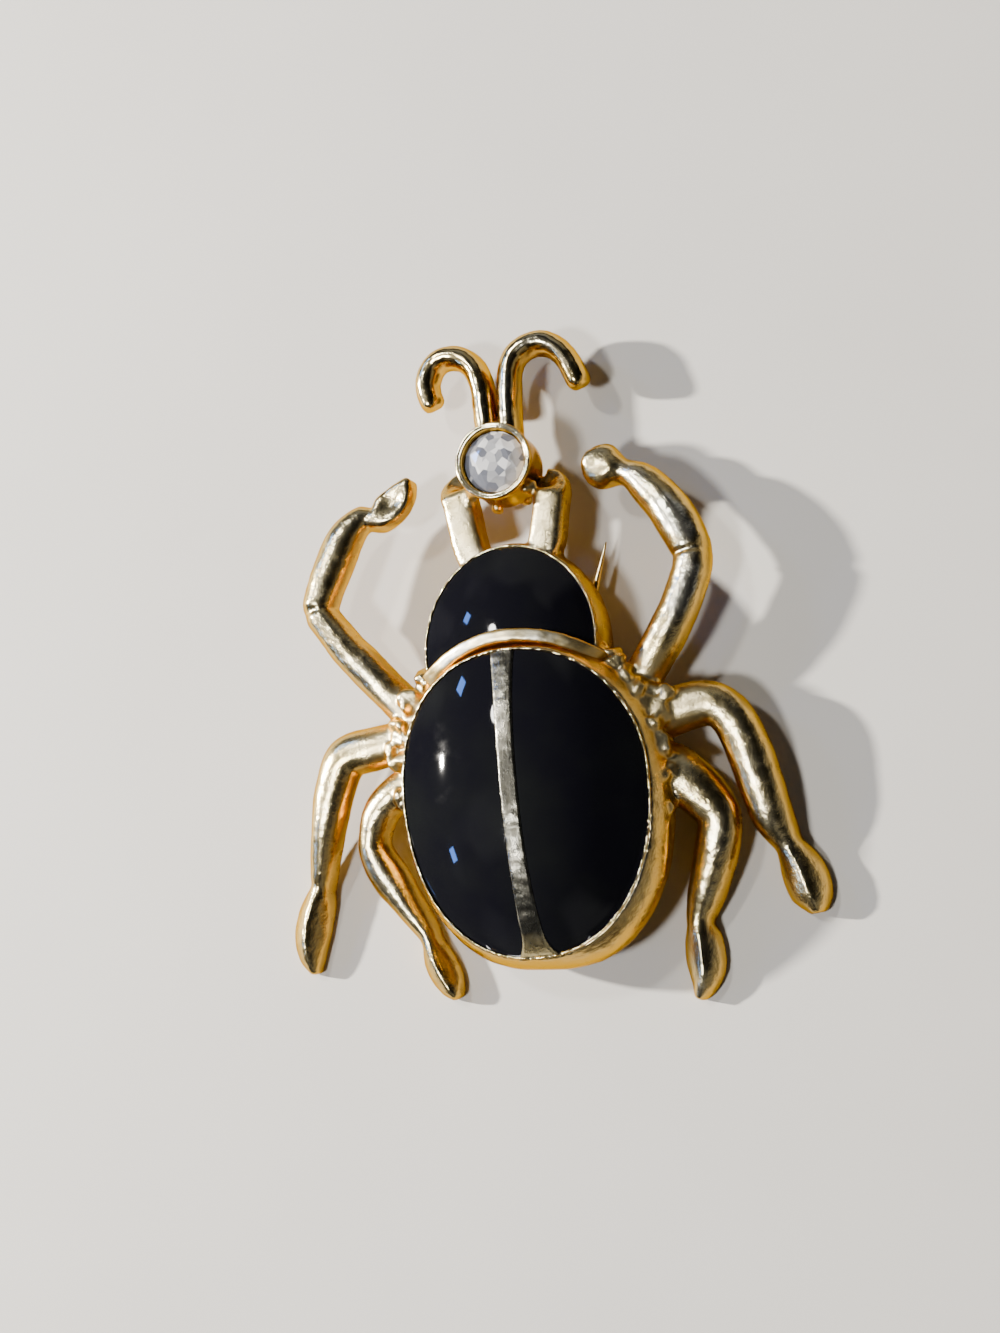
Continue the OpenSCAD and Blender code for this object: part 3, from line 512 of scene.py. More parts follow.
# Gold finishes. Columns: wear, tarnish, roughness and relief.
GOLDS = {
    "cast gold": (0.3, 0.5, 0.21, 0.5),
    "rim gold": (0.25, 0.5, 0.16, 0.25),
    "polished gold": (1.6, 0.15, 0.36, 0.2),
    "bezel gold": (0.5, 0.5, 0.12, 0.2),
    "antenna gold": (0.8, 0.3, 0.16, 0.2),
    "fitting gold": (0.4, 0.5, 0.2, 0.2),
    "wire gold": (0.4, 0.3, 0.18, 0.1),
}
# The wear of a rubbed place, and the roughness of a grainy one.
RUBBED_WEAR, GRAINY_ROUGHNESS = 1.6, 0.36

# The bezel's section in millimetres: in from its outer radius, and down from its lip.
BEZEL = [
    (0.4, 3.7), (0.18, 3.55), (0.1, 3.1), (0.1, 2.2), (0.14, 1.2), (0.04, 0.7), (0.0, 0.45),
    (0.0, 0.18), (0.04, 0.06), (0.12, 0.0), (0.2, 0.03), (0.26, 0.08), (0.3, 0.05), (0.36, 0.06),
    (0.44, 0.14), (0.5, 0.36), (0.5, 0.7),
]

# The dents' noise starts from a fixed seed, so that every run gives the same shapes.
DENT_SEED = 7

# Lights. Columns: place from the brooch's middle, size, watts, tint and shape.
BLUE = (0.13, 0.32, 1.0)
LIGHTS = {
    "key": ((-0.36, 0.085, 0.19), 0.02, 6.4, (1.0, 0.95, 0.86), "DISK"),
    "fill": ((-0.16, 0.17, 0.36), 0.04, 0.7, (1.0, 0.97, 0.90), "DISK"),
    "glow": ((-0.13, -0.09, 0.37), 0.06, 1.3, (1.0, 0.98, 0.94), "DISK"),
    "window": ((-0.27, 0.20, 0.22), 0.034, 0.16, BLUE, "SQUARE"),
    "window_rear": ((-0.36, -0.09, 0.19), 0.03, 0.12, BLUE, "SQUARE"),
}


def leg_rows(plan, side, angle, run, table):
    """A leg's rows in metres, from its shares."""
    limbs = plan.l
    root_x, root_y = plan.wing_point(math.radians(angle))
    root_x -= limbs.root_inset
    return [(side * (root_x + q[0] * limbs.leg_out), root_y + run * q[1] * limbs.leg_run,
             q[2] * limbs.leg_height, q[3] * limbs.leg_width, q[4] * limbs.leg_depth)
            + (q[5:] or (0.0, 0.0)) for q in table]


def strut_rows(plan, side, spread, step):
    """A neck strut's rows in metres, with the step in its top beside the bezel."""
    limbs, b = plan.l, plan.b
    rows = [(out, ahead, 0.0) for out, ahead in STRUT_UP]
    rows += [(out, step + ahead, drop * MM) for out, ahead, drop in STRUT_STEP]
    depth = b.shield_height - b.edge_height - STRUT_FOOT
    return [(side * spread * out * limbs.neck_width, plan.shield_top + ahead * limbs.neck_length,
             b.shield_height + STRUT_TOP - drop, limbs.strut_width, depth - drop, 0.0, 0.0)
            for out, ahead, drop in rows]


def shell(plan, wing, around=160):
    """One hollow-backed cup of the body: back, wall with its bulge, and the bed of the enamel."""
    b = plan.b

    def outline(grow, uneven=False):
        if not wing:
            return plan.shield_edge(grow)
        point = plan.wall_point if uneven else plan.wing_point
        return [point(2 * math.pi * i / around, grow) for i in range(around)]

    dome = plan.wing_dome if wing else plan.shield_dome
    centre = (0.0, WING_LINE) if wing else (0.0, plan.shield_c)
    shift = 0.0 if wing else plan.shield_x
    rim = [dome(x, y) for x, y in outline(0.0)]

    def over(scale, grow, drop):
        ring = []
        for x, y in outline(grow):
            px, py = centre[0] + (x - centre[0]) * scale, centre[1] + (y - centre[1]) * scale
            ring.append((px + shift, py, dome(px, py) - drop))
        return ring

    def wall(grow, height, uneven=False):
        return [(x + shift, y, b.edge_height + (z - b.edge_height) * height)
                for (x, y), z in zip(outline(grow, uneven), rim)]

    rings = [over(s, -b.wall, b.floor) for s in (0.08, 0.3, 0.55, 0.8, 0.95)]
    rings += [over(1, -b.wall, b.floor + 0.0002), wall(b.rim_width - b.wall, 0.10),
              wall(b.rim_width - 0.8 * b.wall, 0.02), wall(-0.4 * b.wall, 0.0)]
    widest = 0.3
    most = b.bulge if wing else b.bulge * b.shield_bulge
    for i in range(15):
        height = i / 14
        if height < widest:
            swell = 0.72 + 0.28 * math.sin(math.pi / 2 * height / widest)
        else:
            swell = math.cos(math.pi / 2 * ((height - widest) / (1 - widest)) ** 1.5)
        rings.append(wall(b.rim_width + swell * (most - b.rim_width), height, True))
    rings += [over(1, 0.0, 0.0001)]
    rings += [over(s, 0.0, ENAMEL_DEPTH) for s in (0.97, 0.8, 0.5, 0.2)]
    return ring_faces(rings)


def lumps(seed):
    """Small cast lumps scattered round their places."""
    rng = np.random.default_rng(seed)
    parts = []
    for x, y, z, spread, size, count in LUMPS:
        for _ in range(count):
            shift = rng.normal(0, 0.5, 3) * (spread, spread, spread * 0.6)
            ball = bmesh.new()
            bmesh.ops.create_icosphere(ball, subdivisions=2, radius=size * rng.uniform(0.6, 1.3) * MM)
            middle = (Vector((x, y, z)) + Vector(shift)) * MM
            for v in ball.verts:
                v.co *= 1.0 + 0.7 * noise.noise(v.co * 1500 + Vector(shift) * 9)
            parts.append(([tuple(v.co + middle) for v in ball.verts],
                          [tuple(v.index for v in f.verts) for f in ball.faces]))
            ball.free()
    return parts


def dented(points, amount, size):
    """Points moved a little by smooth noise, as a hand-made model is uneven, inside the casting's box."""
    noise.seed_set(DENT_SEED)
    shift = Plan().origin
    low, high = (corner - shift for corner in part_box("casting"))
    out = []
    for p in points:
        place = Vector(p)
        place += noise.noise_vector(Vector(p) / size) * amount
        place += noise.noise_vector(Vector(p) / (0.3 * size)) * 0.4 * amount
        out.append(tuple(min(max(place[k], low[k]), high[k]) for k in range(3)))
    return out


def remeshed(name, points, faces, cell, smooth_steps, target):
    """One skin round overlapping closed solids, its creases softened as in a casting."""
    scale = 1000.0
    mesh = outward_mesh(name, [(p[0] * scale, p[1] * scale, p[2] * scale) for p in points], faces)
    work = bpy.data.objects.new(name + ".work", mesh)
    bpy.context.scene.collection.objects.link(work)
    skin = work.modifiers.new("skin", "REMESH")
    skin.mode = "VOXEL"
    skin.voxel_size = cell * scale
    soften = work.modifiers.new("soften", "SMOOTH")
    soften.factor = 0.5
    soften.iterations = smooth_steps
    work.modifiers.new("thin", "DECIMATE").ratio = target
    graph = bpy.context.evaluated_depsgraph_get()
    graph.update()
    result = bpy.data.meshes.new_from_object(work.evaluated_get(graph))
    bpy.data.objects.remove(work)
    out_points = [tuple(v.co / scale) for v in result.vertices]
    out_faces = [tuple(f.vertices) for f in result.polygons]
    bpy.data.meshes.remove(result)
    return out_points, out_faces


# Shader helpers.

def fill(tree, node, values):
    """Sets a node's inputs: a socket is linked, and anything else is a constant."""
    for key, value in values.items():
        if isinstance(value, bpy.types.NodeSocket):
            tree.links.new(value, node.inputs[key])
        else:
            node.inputs[key].default_value = value


def add(tree, kind, values=None, **settings):
    """A new shader node with its settings and inputs."""
    made = tree.nodes.new("ShaderNode" + kind)
    for key, value in settings.items():
        setattr(made, key, value)
    fill(tree, made, values or {})
    return made


def calc(tree, operation, a, b, clamp=False):
    return add(tree, "Math", {0: a, 1: b}, operation=operation, use_clamp=clamp).outputs[0]


def mix_colour(tree, factor, a, b):
    return add(tree, "Mix", {0: factor, 6: a, 7: b}, data_type="RGBA").outputs[2]


def noise_value(tree, place, scale, detail=4.0, roughness=0.55):
    values = {"Vector": place, "Scale": scale, "Detail": detail, "Roughness": roughness}
    return add(tree, "TexNoise", values).outputs["Fac"]


def remap(tree, value, low, high, to_low=0.0, to_high=1.0):
    values = {0: value, 1: low, 2: high, 3: to_low, 4: to_high}
    return add(tree, "MapRange", values, clamp=True).outputs[0]


def object_place(tree):
    return add(tree, "TexCoord").outputs["Object"]


def bump(tree, shader, height, strength, distance):
    made = add(tree, "Bump", {"Strength": strength, "Distance": distance, "Height": height})
    fill(tree, shader, {"Normal": made.outputs[0]})


def new_material(name):
    """A material with an empty tree but its Principled shader and output."""
    material = bpy.data.materials.new(name)
    material.use_nodes = True
    return material, material.node_tree, material.node_tree.nodes["Principled BSDF"]


def cast_surface_group():
    """How a gilded casting varies: rubbed tops, walls in a darker, oranger gold as painted shade and
    painted warm reflection, tarnish and fine bumps.
    """
    name = "Cast surface"
    if name in bpy.data.node_groups:
        return bpy.data.node_groups[name]
    tree = bpy.data.node_groups.new(name, "ShaderNodeTree")
    # Side is the painted shade and warm reflection of the walls, and Top is the gold of the upward faces.
    for label, kind, usual in (
            ("Top", "Color", (0.8, 0.7, 0.5, 1)), ("Side", "Color", (0.8, 0.5, 0.2, 1)),
            ("Worn", "Color", (0.8, 0.77, 0.7, 1)), ("Tarnish", "Color", (0.1, 0.06, 0.02, 1)),
            ("Wear amount", "Float", 0.5), ("Tarnish amount", "Float", 0.3),
            ("Roughness", "Float", 0.2)):
        made = tree.interface.new_socket(name=label, in_out="INPUT", socket_type="NodeSocket" + kind)
        made.default_value = usual
    for label, kind in (("Color", "Color"), ("Roughness", "Float"), ("Height", "Float")):
        tree.interface.new_socket(name=label, in_out="OUTPUT", socket_type="NodeSocket" + kind)
    given = tree.nodes.new("NodeGroupInput").outputs
    place = object_place(tree)
    normal = add(tree, "NewGeometry").outputs["Normal"]
    facing = add(tree, "SeparateXYZ", {0: normal}).outputs["Z"]
    broad = noise_value(tree, place, 260, 3)
    fine = noise_value(tree, place, 1500, 5, 0.6)
    grain = noise_value(tree, place, 5200, 3, 0.6)
    patchy = calc(tree, "MULTIPLY", calc(tree, "SUBTRACT", broad, 0.5), 0.5)
    # Painted shade: faces turned sideways or down take the darker, oranger Side colour, as shade and a
    # warm reflection would make them.
    up = calc(tree, "ADD", remap(tree, facing, 0.5, 0.95), patchy, True)
    base = mix_colour(tree, up, given["Side"], given["Top"])
    worn = remap(tree, calc(tree, "MULTIPLY", broad, up), 0.36, 0.62)
    worn = calc(tree, "MULTIPLY", worn, given["Wear amount"], True)
    base = mix_colour(tree, worn, base, given["Worn"])
    low = calc(tree, "ADD", remap(tree, facing, 0.6, -0.2), 0.25)
    spots = calc(tree, "MULTIPLY", remap(tree, fine, 0.58, 0.72), low, True)
    spots = calc(tree, "MULTIPLY", spots, given["Tarnish amount"], True)
    rough = calc(tree, "MULTIPLY", calc(tree, "SUBTRACT", fine, 0.45), 0.22)
    rough = calc(tree, "ADD", given["Roughness"], rough)
    fill(tree, tree.nodes.new("NodeGroupOutput"), {
        "Color": mix_colour(tree, spots, base, given["Tarnish"]),
        "Roughness": calc(tree, "ADD", rough, calc(tree, "MULTIPLY", spots, 0.35), True),
        "Height": calc(tree, "ADD", calc(tree, "MULTIPLY", fine, 0.7),
                       calc(tree, "MULTIPLY", grain, 0.3))})
    return tree


def gold_material(name, rubbed=(), grainy=()):
    """Gilded metal, cast, worn or polished by its values: rubbed bare or left dull round places."""
    if name in bpy.data.materials:
        return bpy.data.materials[name]
    wear, tarnish, roughness, relief = GOLDS[name]
    _, _, finish = sizes()
    material, tree, shader = new_material(name)
    surface = add(tree, "Group", {
        "Top": finish.gold_top, "Side": finish.gold_side_painted_shade, "Worn": finish.gold_worn,
        "Tarnish": finish.crevice, "Wear amount": wear, "Tarnish amount": tarnish,
        "Roughness": roughness}, node_tree=cast_surface_group())
    place = object_place(tree)
    for spots, usual, most, socket in ((rubbed, wear, RUBBED_WEAR, "Wear amount"),
                                       (grainy, roughness, GRAINY_ROUGHNESS, "Roughness")):
        mask = None
        for middle, reach in spots:
            away = add(tree, "VectorMath", {0: place, 1: middle}, operation="DISTANCE")
            near = remap(tree, away.outputs["Value"], reach, 0.4 * reach)
            mask = near if mask is None else calc(tree, "MAXIMUM", mask, near)
        if mask:
            fill(tree, surface, {socket: remap(tree, mask, 0.0, 1.0, usual, most)})
    fill(tree, shader, {
        "Metallic": 1.0, "Specular Tint": finish.gold_edge,
        "Base Color": surface.outputs["Color"], "Roughness": surface.outputs["Roughness"]})
    bump(tree, shader, surface.outputs["Height"], relief, 0.00012)
    return material


def enamel_material():
    """Deep black enamel with a faint blue cast and fine scratches."""
    name = "black enamel"
    if name in bpy.data.materials:
        return bpy.data.materials[name]
    _, _, finish = sizes()
    material, tree, shader = new_material(name)
    place = object_place(tree)
    cloud = remap(tree, noise_value(tree, place, 180, 3), 0.4, 0.7)
    scratches = noise_value(tree, place, 620, 6, 0.6)
    fill(tree, shader, {
        "Base Color": mix_colour(tree, cloud, finish.enamel, (0.006, 0.0065, 0.007, 1)),
        "Roughness": remap(tree, scratches, 0.5, 0.8, 0.035, 0.11),
        "IOR": 1.42, "Specular IOR Level": 0.36})
    bump(tree, shader, noise_value(tree, place, 90, 2), 0.25, 0.0004)
    return material


def stripe_material():
    """Rough silvery metal, brushed lengthways and gilded at the tail."""
    body, _, finish = sizes()
    material, tree, shader = new_material("stripe metal")
    place = object_place(tree)
    stretch = add(tree, "Mapping", {"Vector": place, "Scale": (1.0, 0.35, 1.0)})
    streak = noise_value(tree, stretch.outputs[0], 2600, 5, 0.65)
    patch = noise_value(tree, place, 500, 4)
    tone = mix_colour(tree, remap(tree, streak, 0.35, 0.65), (0.06, 0.057, 0.045, 1), finish.stripe)
    tone = mix_colour(tree, remap(tree, patch, 0.52, 0.72), tone, (0.36, 0.34, 0.28, 1))
    tail = Plan().origin.y + WING_LINE - body.wing_back
    along = add(tree, "SeparateXYZ", {0: place}).outputs["Y"]
    gilded = remap(tree, along, tail + 0.0016, tail + 0.0006)
    fill(tree, shader, {
        "Base Color": mix_colour(tree, gilded, tone, finish.gold_top),
        "Roughness": remap(tree, streak, 0.3, 0.7, 0.36, 0.2), "Metallic": 1.0})
    bump(tree, shader, streak, 0.5, 0.0001)
    return material


def stone_material():
    """Clear cut glass, part milky, with small cells of its colour painted white or grey as painted
    sparkle.
    """
    material, tree, shader = new_material("clear stone")
    sparkle_cells = add(tree, "TexVoronoi", {"Vector": object_place(tree), "Scale": 1700})
    split = add(tree, "SeparateColor", {0: sparkle_cells.outputs["Color"]})
    # Painted sparkle: the white and grey cells and the milky share that is not transmitted stand in for
    # glints and for light thrown back by the foil.
    painted_sparkle = remap(tree, split.outputs[0], 0.3, 0.7)
    fill(tree, shader, {
        "Base Color": mix_colour(tree, painted_sparkle, (0.20, 0.21, 0.25, 1), (1.0, 1.0, 1.0, 1)),
        "Roughness": 0.0, "IOR": 1.56, "Transmission Weight": 0.45})
    return material


def foil_material():
    """The stone's mirror backing, a little worn."""
    material, tree, shader = new_material("foil")
    worn = remap(tree, noise_value(tree, object_place(tree), 900, 3), 0.5, 0.7)
    fill(tree, shader, {
        "Base Color": mix_colour(tree, worn, (0.97, 0.97, 0.98, 1), (0.60, 0.59, 0.58, 1)),
        "Metallic": 0.5, "Roughness": 0.25})
    return material


def paint(piece, material):
    piece.data.materials.clear()
    piece.data.materials.append(material)


# Operators, one for each piece or group of like pieces.

class BROOCH_OT_casting(bpy.types.Operator):
    """Cast body with its legs and neck struts, as one skin"""

    bl_idname = "brooch.casting"
    bl_label = "Casting"

    def execute(self, context):
        plan = Plan()
        parts = [shell(plan, True), shell(plan, False)]
        parts += [swept(leg_rows(plan, *leg)) for leg in LEGS]
        parts += [swept(strut_rows(plan, *strut), square=3.2, arch=0.3) for strut in STRUTS]
        parts += lumps(7)
        cell, smooth_steps, kept_share = 0.00013, 5, 0.55
        points, faces = remeshed("casting_skin", *joined(parts), cell, smooth_steps, kept_share)
        piece = new_piece("casting_body", dented(points, 0.00005, 0.0016), faces)
        rubbed, grainy = ([(plan.origin + Vector(place), reach) for place, reach in spots]
                          for spots in (RUBBED, GRAINY))
        paint(piece, gold_material("cast gold", rubbed, grainy))
        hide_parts("casting")
        return {"FINISHED"}


class BROOCH_OT_rims(bpy.types.Operator):
    """Thin rims round the enamel"""

    bl_idname = "brooch.rims"
    bl_label = "Rims"

    def execute(self, context):
        plan = Plan()
        b = plan.b
        around = 420
        overlap, sunk, bead = 0.00002, 0.0006, 0.00008
        for name, wing in (("rim_wings", True), ("rim_shield", False)):
            dome, shift = (plan.wing_dome, 0.0) if wing else (plan.shield_dome, plan.shield_x)

            def outline(grow):
                if wing:
                    return [plan.wing_point(2 * math.pi * i / around, grow) for i in range(around)]
                return plan.shield_edge(grow, around, 4)[:around + 1]

            rings = []
            for inner, outer in zip(outline(-overlap), outline(b.rim_width)):
                top = dome(*inner)
                uneven = 1.2 + 1.3 * noise.noise(Vector((*inner, 0.0)) * 2300)
                ring = [(inner[0] + shift, inner[1], top - sunk)]
                for k in range(9):
                    angle = math.pi * k / 8
                    f = (1 - math.cos(angle)) / 2
                    ring.append((inner[0] + (outer[0] - inner[0]) * f + shift,
                                 inner[1] + (outer[1] - inner[1]) * f,
                                 top + bead * uneven * math.sin(angle)))
                ring.append((outer[0] + shift, outer[1], top - sunk))
                rings.append(ring)
            points, faces = ring_faces(rings, loop=wing)
            piece = new_piece(name, points, faces)
            paint(piece, gold_material("rim gold"))
            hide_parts("casting")
        return {"FINISHED"}


class BROOCH_OT_collar(bpy.types.Operator):
    """Raised polished band between shield and wing cases"""

    bl_idname = "brooch.collar"
    bl_label = "Collar"

    def execute(self, context):
        plan = Plan()
        b = plan.b
        reach = b.shield_width / 2 + b.rim_width + 0.0001
        knob_rise, end_drop, foot = 0.00015, 0.0005, 0.0006
        rows = []
        for i in range(41):
            x = -reach + 2 * reach * i / 40
            knob = max(0.0, -x / reach) ** 6
            end = max(0.0, x / reach) ** 12
            top = plan.collar_top(x) + knob_rise * knob - end_drop * end
            rows.append((x, plan.collar_line(x), top, b.collar_width * (1.04 + 0.25 * knob),
                         top - b.edge_height - foot, 0.0, 0.0))
        rings = section_rings(spline(rows, 0.00012), 3.0, 0.07)
        points, faces = ring_faces(rings)
        piece = new_piece("collar_band", dented(points, 0.00004, 0.0008), faces)
        paint(piece, gold_material("polished gold"))
        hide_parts("casting")
        return {"FINISHED"}


class BROOCH_OT_stripe(bpy.types.Operator):
    """Rough silvery stripe between the wing cases"""

    bl_idname = "brooch.stripe"
    bl_label = "Stripe"

    def execute(self, context):
        plan = Plan()
        b = plan.b
        low = WING_LINE - b.wing_back - b.rim_width
        high = WING_LINE + b.wing_front + b.rim_width
        rings = []
        steps = 150
        sunk, edge_drop, crown, grain = 0.0012, 0.00008, 0.00005, 0.00003
        for i in range(steps + 1):
            y = low + (high - low) * i / steps
            half = plan.stripe_half(y)
            top = plan.wing_dome(0.0, y)
            ring = [(half, y, top - sunk), (half, y, top - edge_drop)]
            for k in range(9):
                u = 1 - 2 * k / 8
                rough = grain * noise.noise(Vector((u * 0.5, y * 2500, 0.0)))
                ring.append((half * 0.96 * u, y, top + crown * (1 - u * u) + rough))
            ring += [(-half, y, top - edge_drop), (-half, y, top - sunk)]
            rings.append(ring)
        points, faces = ring_faces(rings)
        piece = new_piece("stripe_bar", dented(points, 0.00001, 0.0008), faces)
        paint(piece, stripe_material())
        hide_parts("casting")
        return {"FINISHED"}


class BROOCH_OT_enamels(bpy.types.Operator):
    """Black enamel of the wing cases and the shield"""

    bl_idname = "brooch.enamels"
    bl_label = "Enamels"

    def execute(self, context):
        plan = Plan()
        b = plan.b
        gap = 0.00002
        shares = [1.0, 0.985, 0.95, 0.88, 0.78, 0.66, 0.52, 0.38, 0.22, 0.1]
        sink = [0.00004] + [0.0] * (len(shares) - 1)

        def dome_normals(points, dome, shift, low_rings, count):
            """Normals of the dome for the points above, and none for those of the underside."""
            step, calm, steep_share = 0.00002, 0.5, 0.15
            out = []
            for i, (x, y, z) in enumerate(points):
                if i < low_rings * count or i == len(points) - 2:
                    out.append((0.0, 0.0, 0.0))
                    continue
                x -= shift
                slope_x = (dome(x + step, y) - dome(x - step, y)) / (2 * step)
                slope_y = (dome(x, y + step) - dome(x, y - step)) / (2 * step)
                slope = math.hypot(slope_x, slope_y)
                calmer = 1.0 if slope < calm else (calm + (slope - calm) * steep_share) / slope
                out.append(Vector((-slope_x * calmer, -slope_y * calmer, 1.0)).normalized())
            return out

        def capped(edge, centre, dome, shift):
            def ring(scale, drop):
                out = []
                for x, y in edge:
                    px, py = centre[0] + (x - centre[0]) * scale, centre[1] + (y - centre[1]) * scale
                    out.append((px + shift, py, dome(px, py) - drop))
                return out
            rings = [ring(s, ENAMEL_DEPTH) for s in reversed(shares)]
            rings += [ring(s, d) for s, d in zip(shares, sink)]
            points, faces = ring_faces(rings)
            return points, faces, dome_normals(points, dome, shift, len(shares), len(edge))

        for side, cad in ((-1, "enamel_wing_left"), (1, "enamel_wing_right")):
            seam_end = b.stripe_width / 2 * (1 + STRIPE_FLARE) + gap
            ends = [seam_end + widening for widening in (TAIL_WIDENING, 0.0)]
            half = b.wing_width / 2 - gap
            tail, front = (math.acos((end / half) ** (WING_POWER / 2)) for end in ends)
            around, along = 150, 60
            curve = [plan.wing_point(-tail + (tail + front) * i / around, -gap) for i in range(around + 1)]
            seam = []
            for i in range(1, along):
                y = curve[-1][1] + (curve[0][1] - curve[-1][1]) * i / along
                seam.append((plan.stripe_half(y) + gap, y))
            edge = [(side * x, y) for x, y in curve + seam]
            centre = (side * b.wing_width * 0.23, WING_LINE - 0.0005)
            points, faces, normals = capped(edge, centre, plan.wing_dome, 0.0)
            piece = new_piece(cad + "_gloss", points, faces, normals=normals)
            paint(piece, enamel_material())
            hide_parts(cad)
        edge = plan.shield_edge(-gap)
        points, faces, normals = capped(edge, (0.0, plan.shield_c), plan.shield_dome, plan.shield_x)
        piece = new_piece("enamel_shield_gloss", points, faces, normals=normals)
        paint(piece, enamel_material())
        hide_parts("enamel_shield")
        return {"FINISHED"}


def turned(name, profile, around=96):
    """A turned solid from radius and height pairs round the stone's middle."""
    rings = [[(r * math.cos(2 * math.pi * i / around), r * math.sin(2 * math.pi * i / around), z)
              for i in range(around)] for r, z in profile]
    return new_piece(name, *ring_faces(rings), origin=HEAD)


class BROOCH_OT_head(bpy.types.Operator):
    """Bezel cup with its cut stone and foil"""

    bl_idname = "brooch.head"
    bl_label = "Head"

    def execute(self, context):
        stone_r = (STONE_HIGH.x - STONE_LOW.x) / 2
        lip = STONE_HIGH.z + 0.0001
        outer = stone_r + 0.00054
        middle = 0.0002
        profile = [(outer - inward * MM, lip - down * MM) for inward, down in BEZEL]
        profile = [(middle, lip - 0.0037)] + profile + [(middle, lip - 0.0026)]
        piece = turned("bezel_cup", profile)
        paint(piece, gold_material("bezel gold"))
        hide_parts("casting")
        self.stone(stone_r)
        return {"FINISHED"}

    def stone(self, radius):
        """A brilliant cut: table, stars, kites and halves above, mains and halves below."""
        girdle = STONE_HIGH.z - 0.0004
        crown, belt, pavilion = 0.0004, 0.00012, 0.0016
        made = bmesh.new()

        def ring(count, r, z, turn=0.0):
            return [made.verts.new((r * math.cos(2 * math.pi * (i + turn) / count),
                                    r * math.sin(2 * math.pi * (i + turn) / count), z))
                    for i in range(count)]

        table = ring(8, 0.56 * radius, girdle + crown)
        star = ring(8, 0.79 * radius, girdle + 0.56 * crown, 0.5)
        upper = ring(16, 0.995 * radius, girdle)
        lower = ring(16, 0.995 * radius, girdle - belt)
        mains = ring(8, 0.30 * radius, girdle - belt - 0.80 * pavilion, 0.5)
        tip = made.verts.new((0, 0, girdle - belt - pavilion))
        made.faces.new(table)
        for i in range(8):
            j = (i + 1) % 8
            made.faces.new((table[i], table[j], star[i]))
            made.faces.new((star[i - 1], table[i], star[i], upper[2 * i]))
            made.faces.new((star[i], upper[2 * i + 1], upper[2 * i]))
            made.faces.new((star[i], upper[(2 * i + 2) % 16], upper[2 * i + 1]))
            made.faces.new((lower[2 * i], lower[2 * i + 1], mains[i]))
            made.faces.new((lower[2 * i + 1], lower[(2 * i + 2) % 16], mains[i]))
            made.faces.new((lower[2 * i], mains[i], tip, mains[i - 1]))
        for i in range(16):
            j = (i + 1) % 16
            made.faces.new((upper[i], upper[j], lower[j], lower[i]))
        points, faces = taken(made)
        piece = new_piece("stone_cut", points, faces, smooth=False, origin=HEAD)
        paint(piece, stone_material())
        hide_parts("stone")
        above, drop = len(table + star + upper), 0.00003
        foil_points = [(x * 1.012, y * 1.012, z - drop) for x, y, z in points[above:]]
        below = [tuple(i - above for i in f) for f in faces if min(f) >= above]
        foil = new_piece("stone_foil", foil_points, below, smooth=False, origin=HEAD)
        paint(foil, foil_material())
        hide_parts("stone")


class BROOCH_OT_antennae(bpy.types.Operator):
    """Two curled antennae"""

    bl_idname = "brooch.antennae"
    bl_label = "Antennae"

    def execute(self, context):
        plan = Plan()
        limbs = plan.l
        for side, table, name in ((-1, ANTENNA_LEFT, "antenna_left"),
                                  (1, ANTENNA_RIGHT, "antenna_right")):
            rows = [(side * q[0] * limbs.antenna_length, plan.head_y + q[1] * limbs.antenna_length,
                     q[2] * limbs.antenna_height, limbs.antenna_width, limbs.antenna_depth, 0.0, 0.0)
                    for q in table]
            rows = spline(rows, 0.00012)
            rings = section_rings(rows)
            last, heading = rows[-1], rows[-1][:2] - rows[-2][:2]
            heading = heading / np.linalg.norm(heading)
            sideways = (heading[1], -heading[0])
            for k in range(1, 7):
                angle = math.pi / 2 * k / 6.4
                out, keep = math.sin(angle) * 0.48 * limbs.antenna_width, math.cos(angle)
                ring = []
                for u, d in limb_section(last[3] * keep, last[4], 0.0, 0.0):
                    d = d * (0.3 + 0.7 * keep) + 0.25 * last[4] * (1 - keep)
                    ring.append((last[0] + heading[0] * out + sideways[0] * u,
                                 last[1] + heading[1] * out + sideways[1] * u, last[2] - d))
                rings.append(ring)
            points, faces = ring_faces(rings)
            piece = new_piece(name, dented(points, 0.00005, 0.0012), faces)
            paint(piece, gold_material("antenna gold"))
            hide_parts("casting")
        return {"FINISHED"}


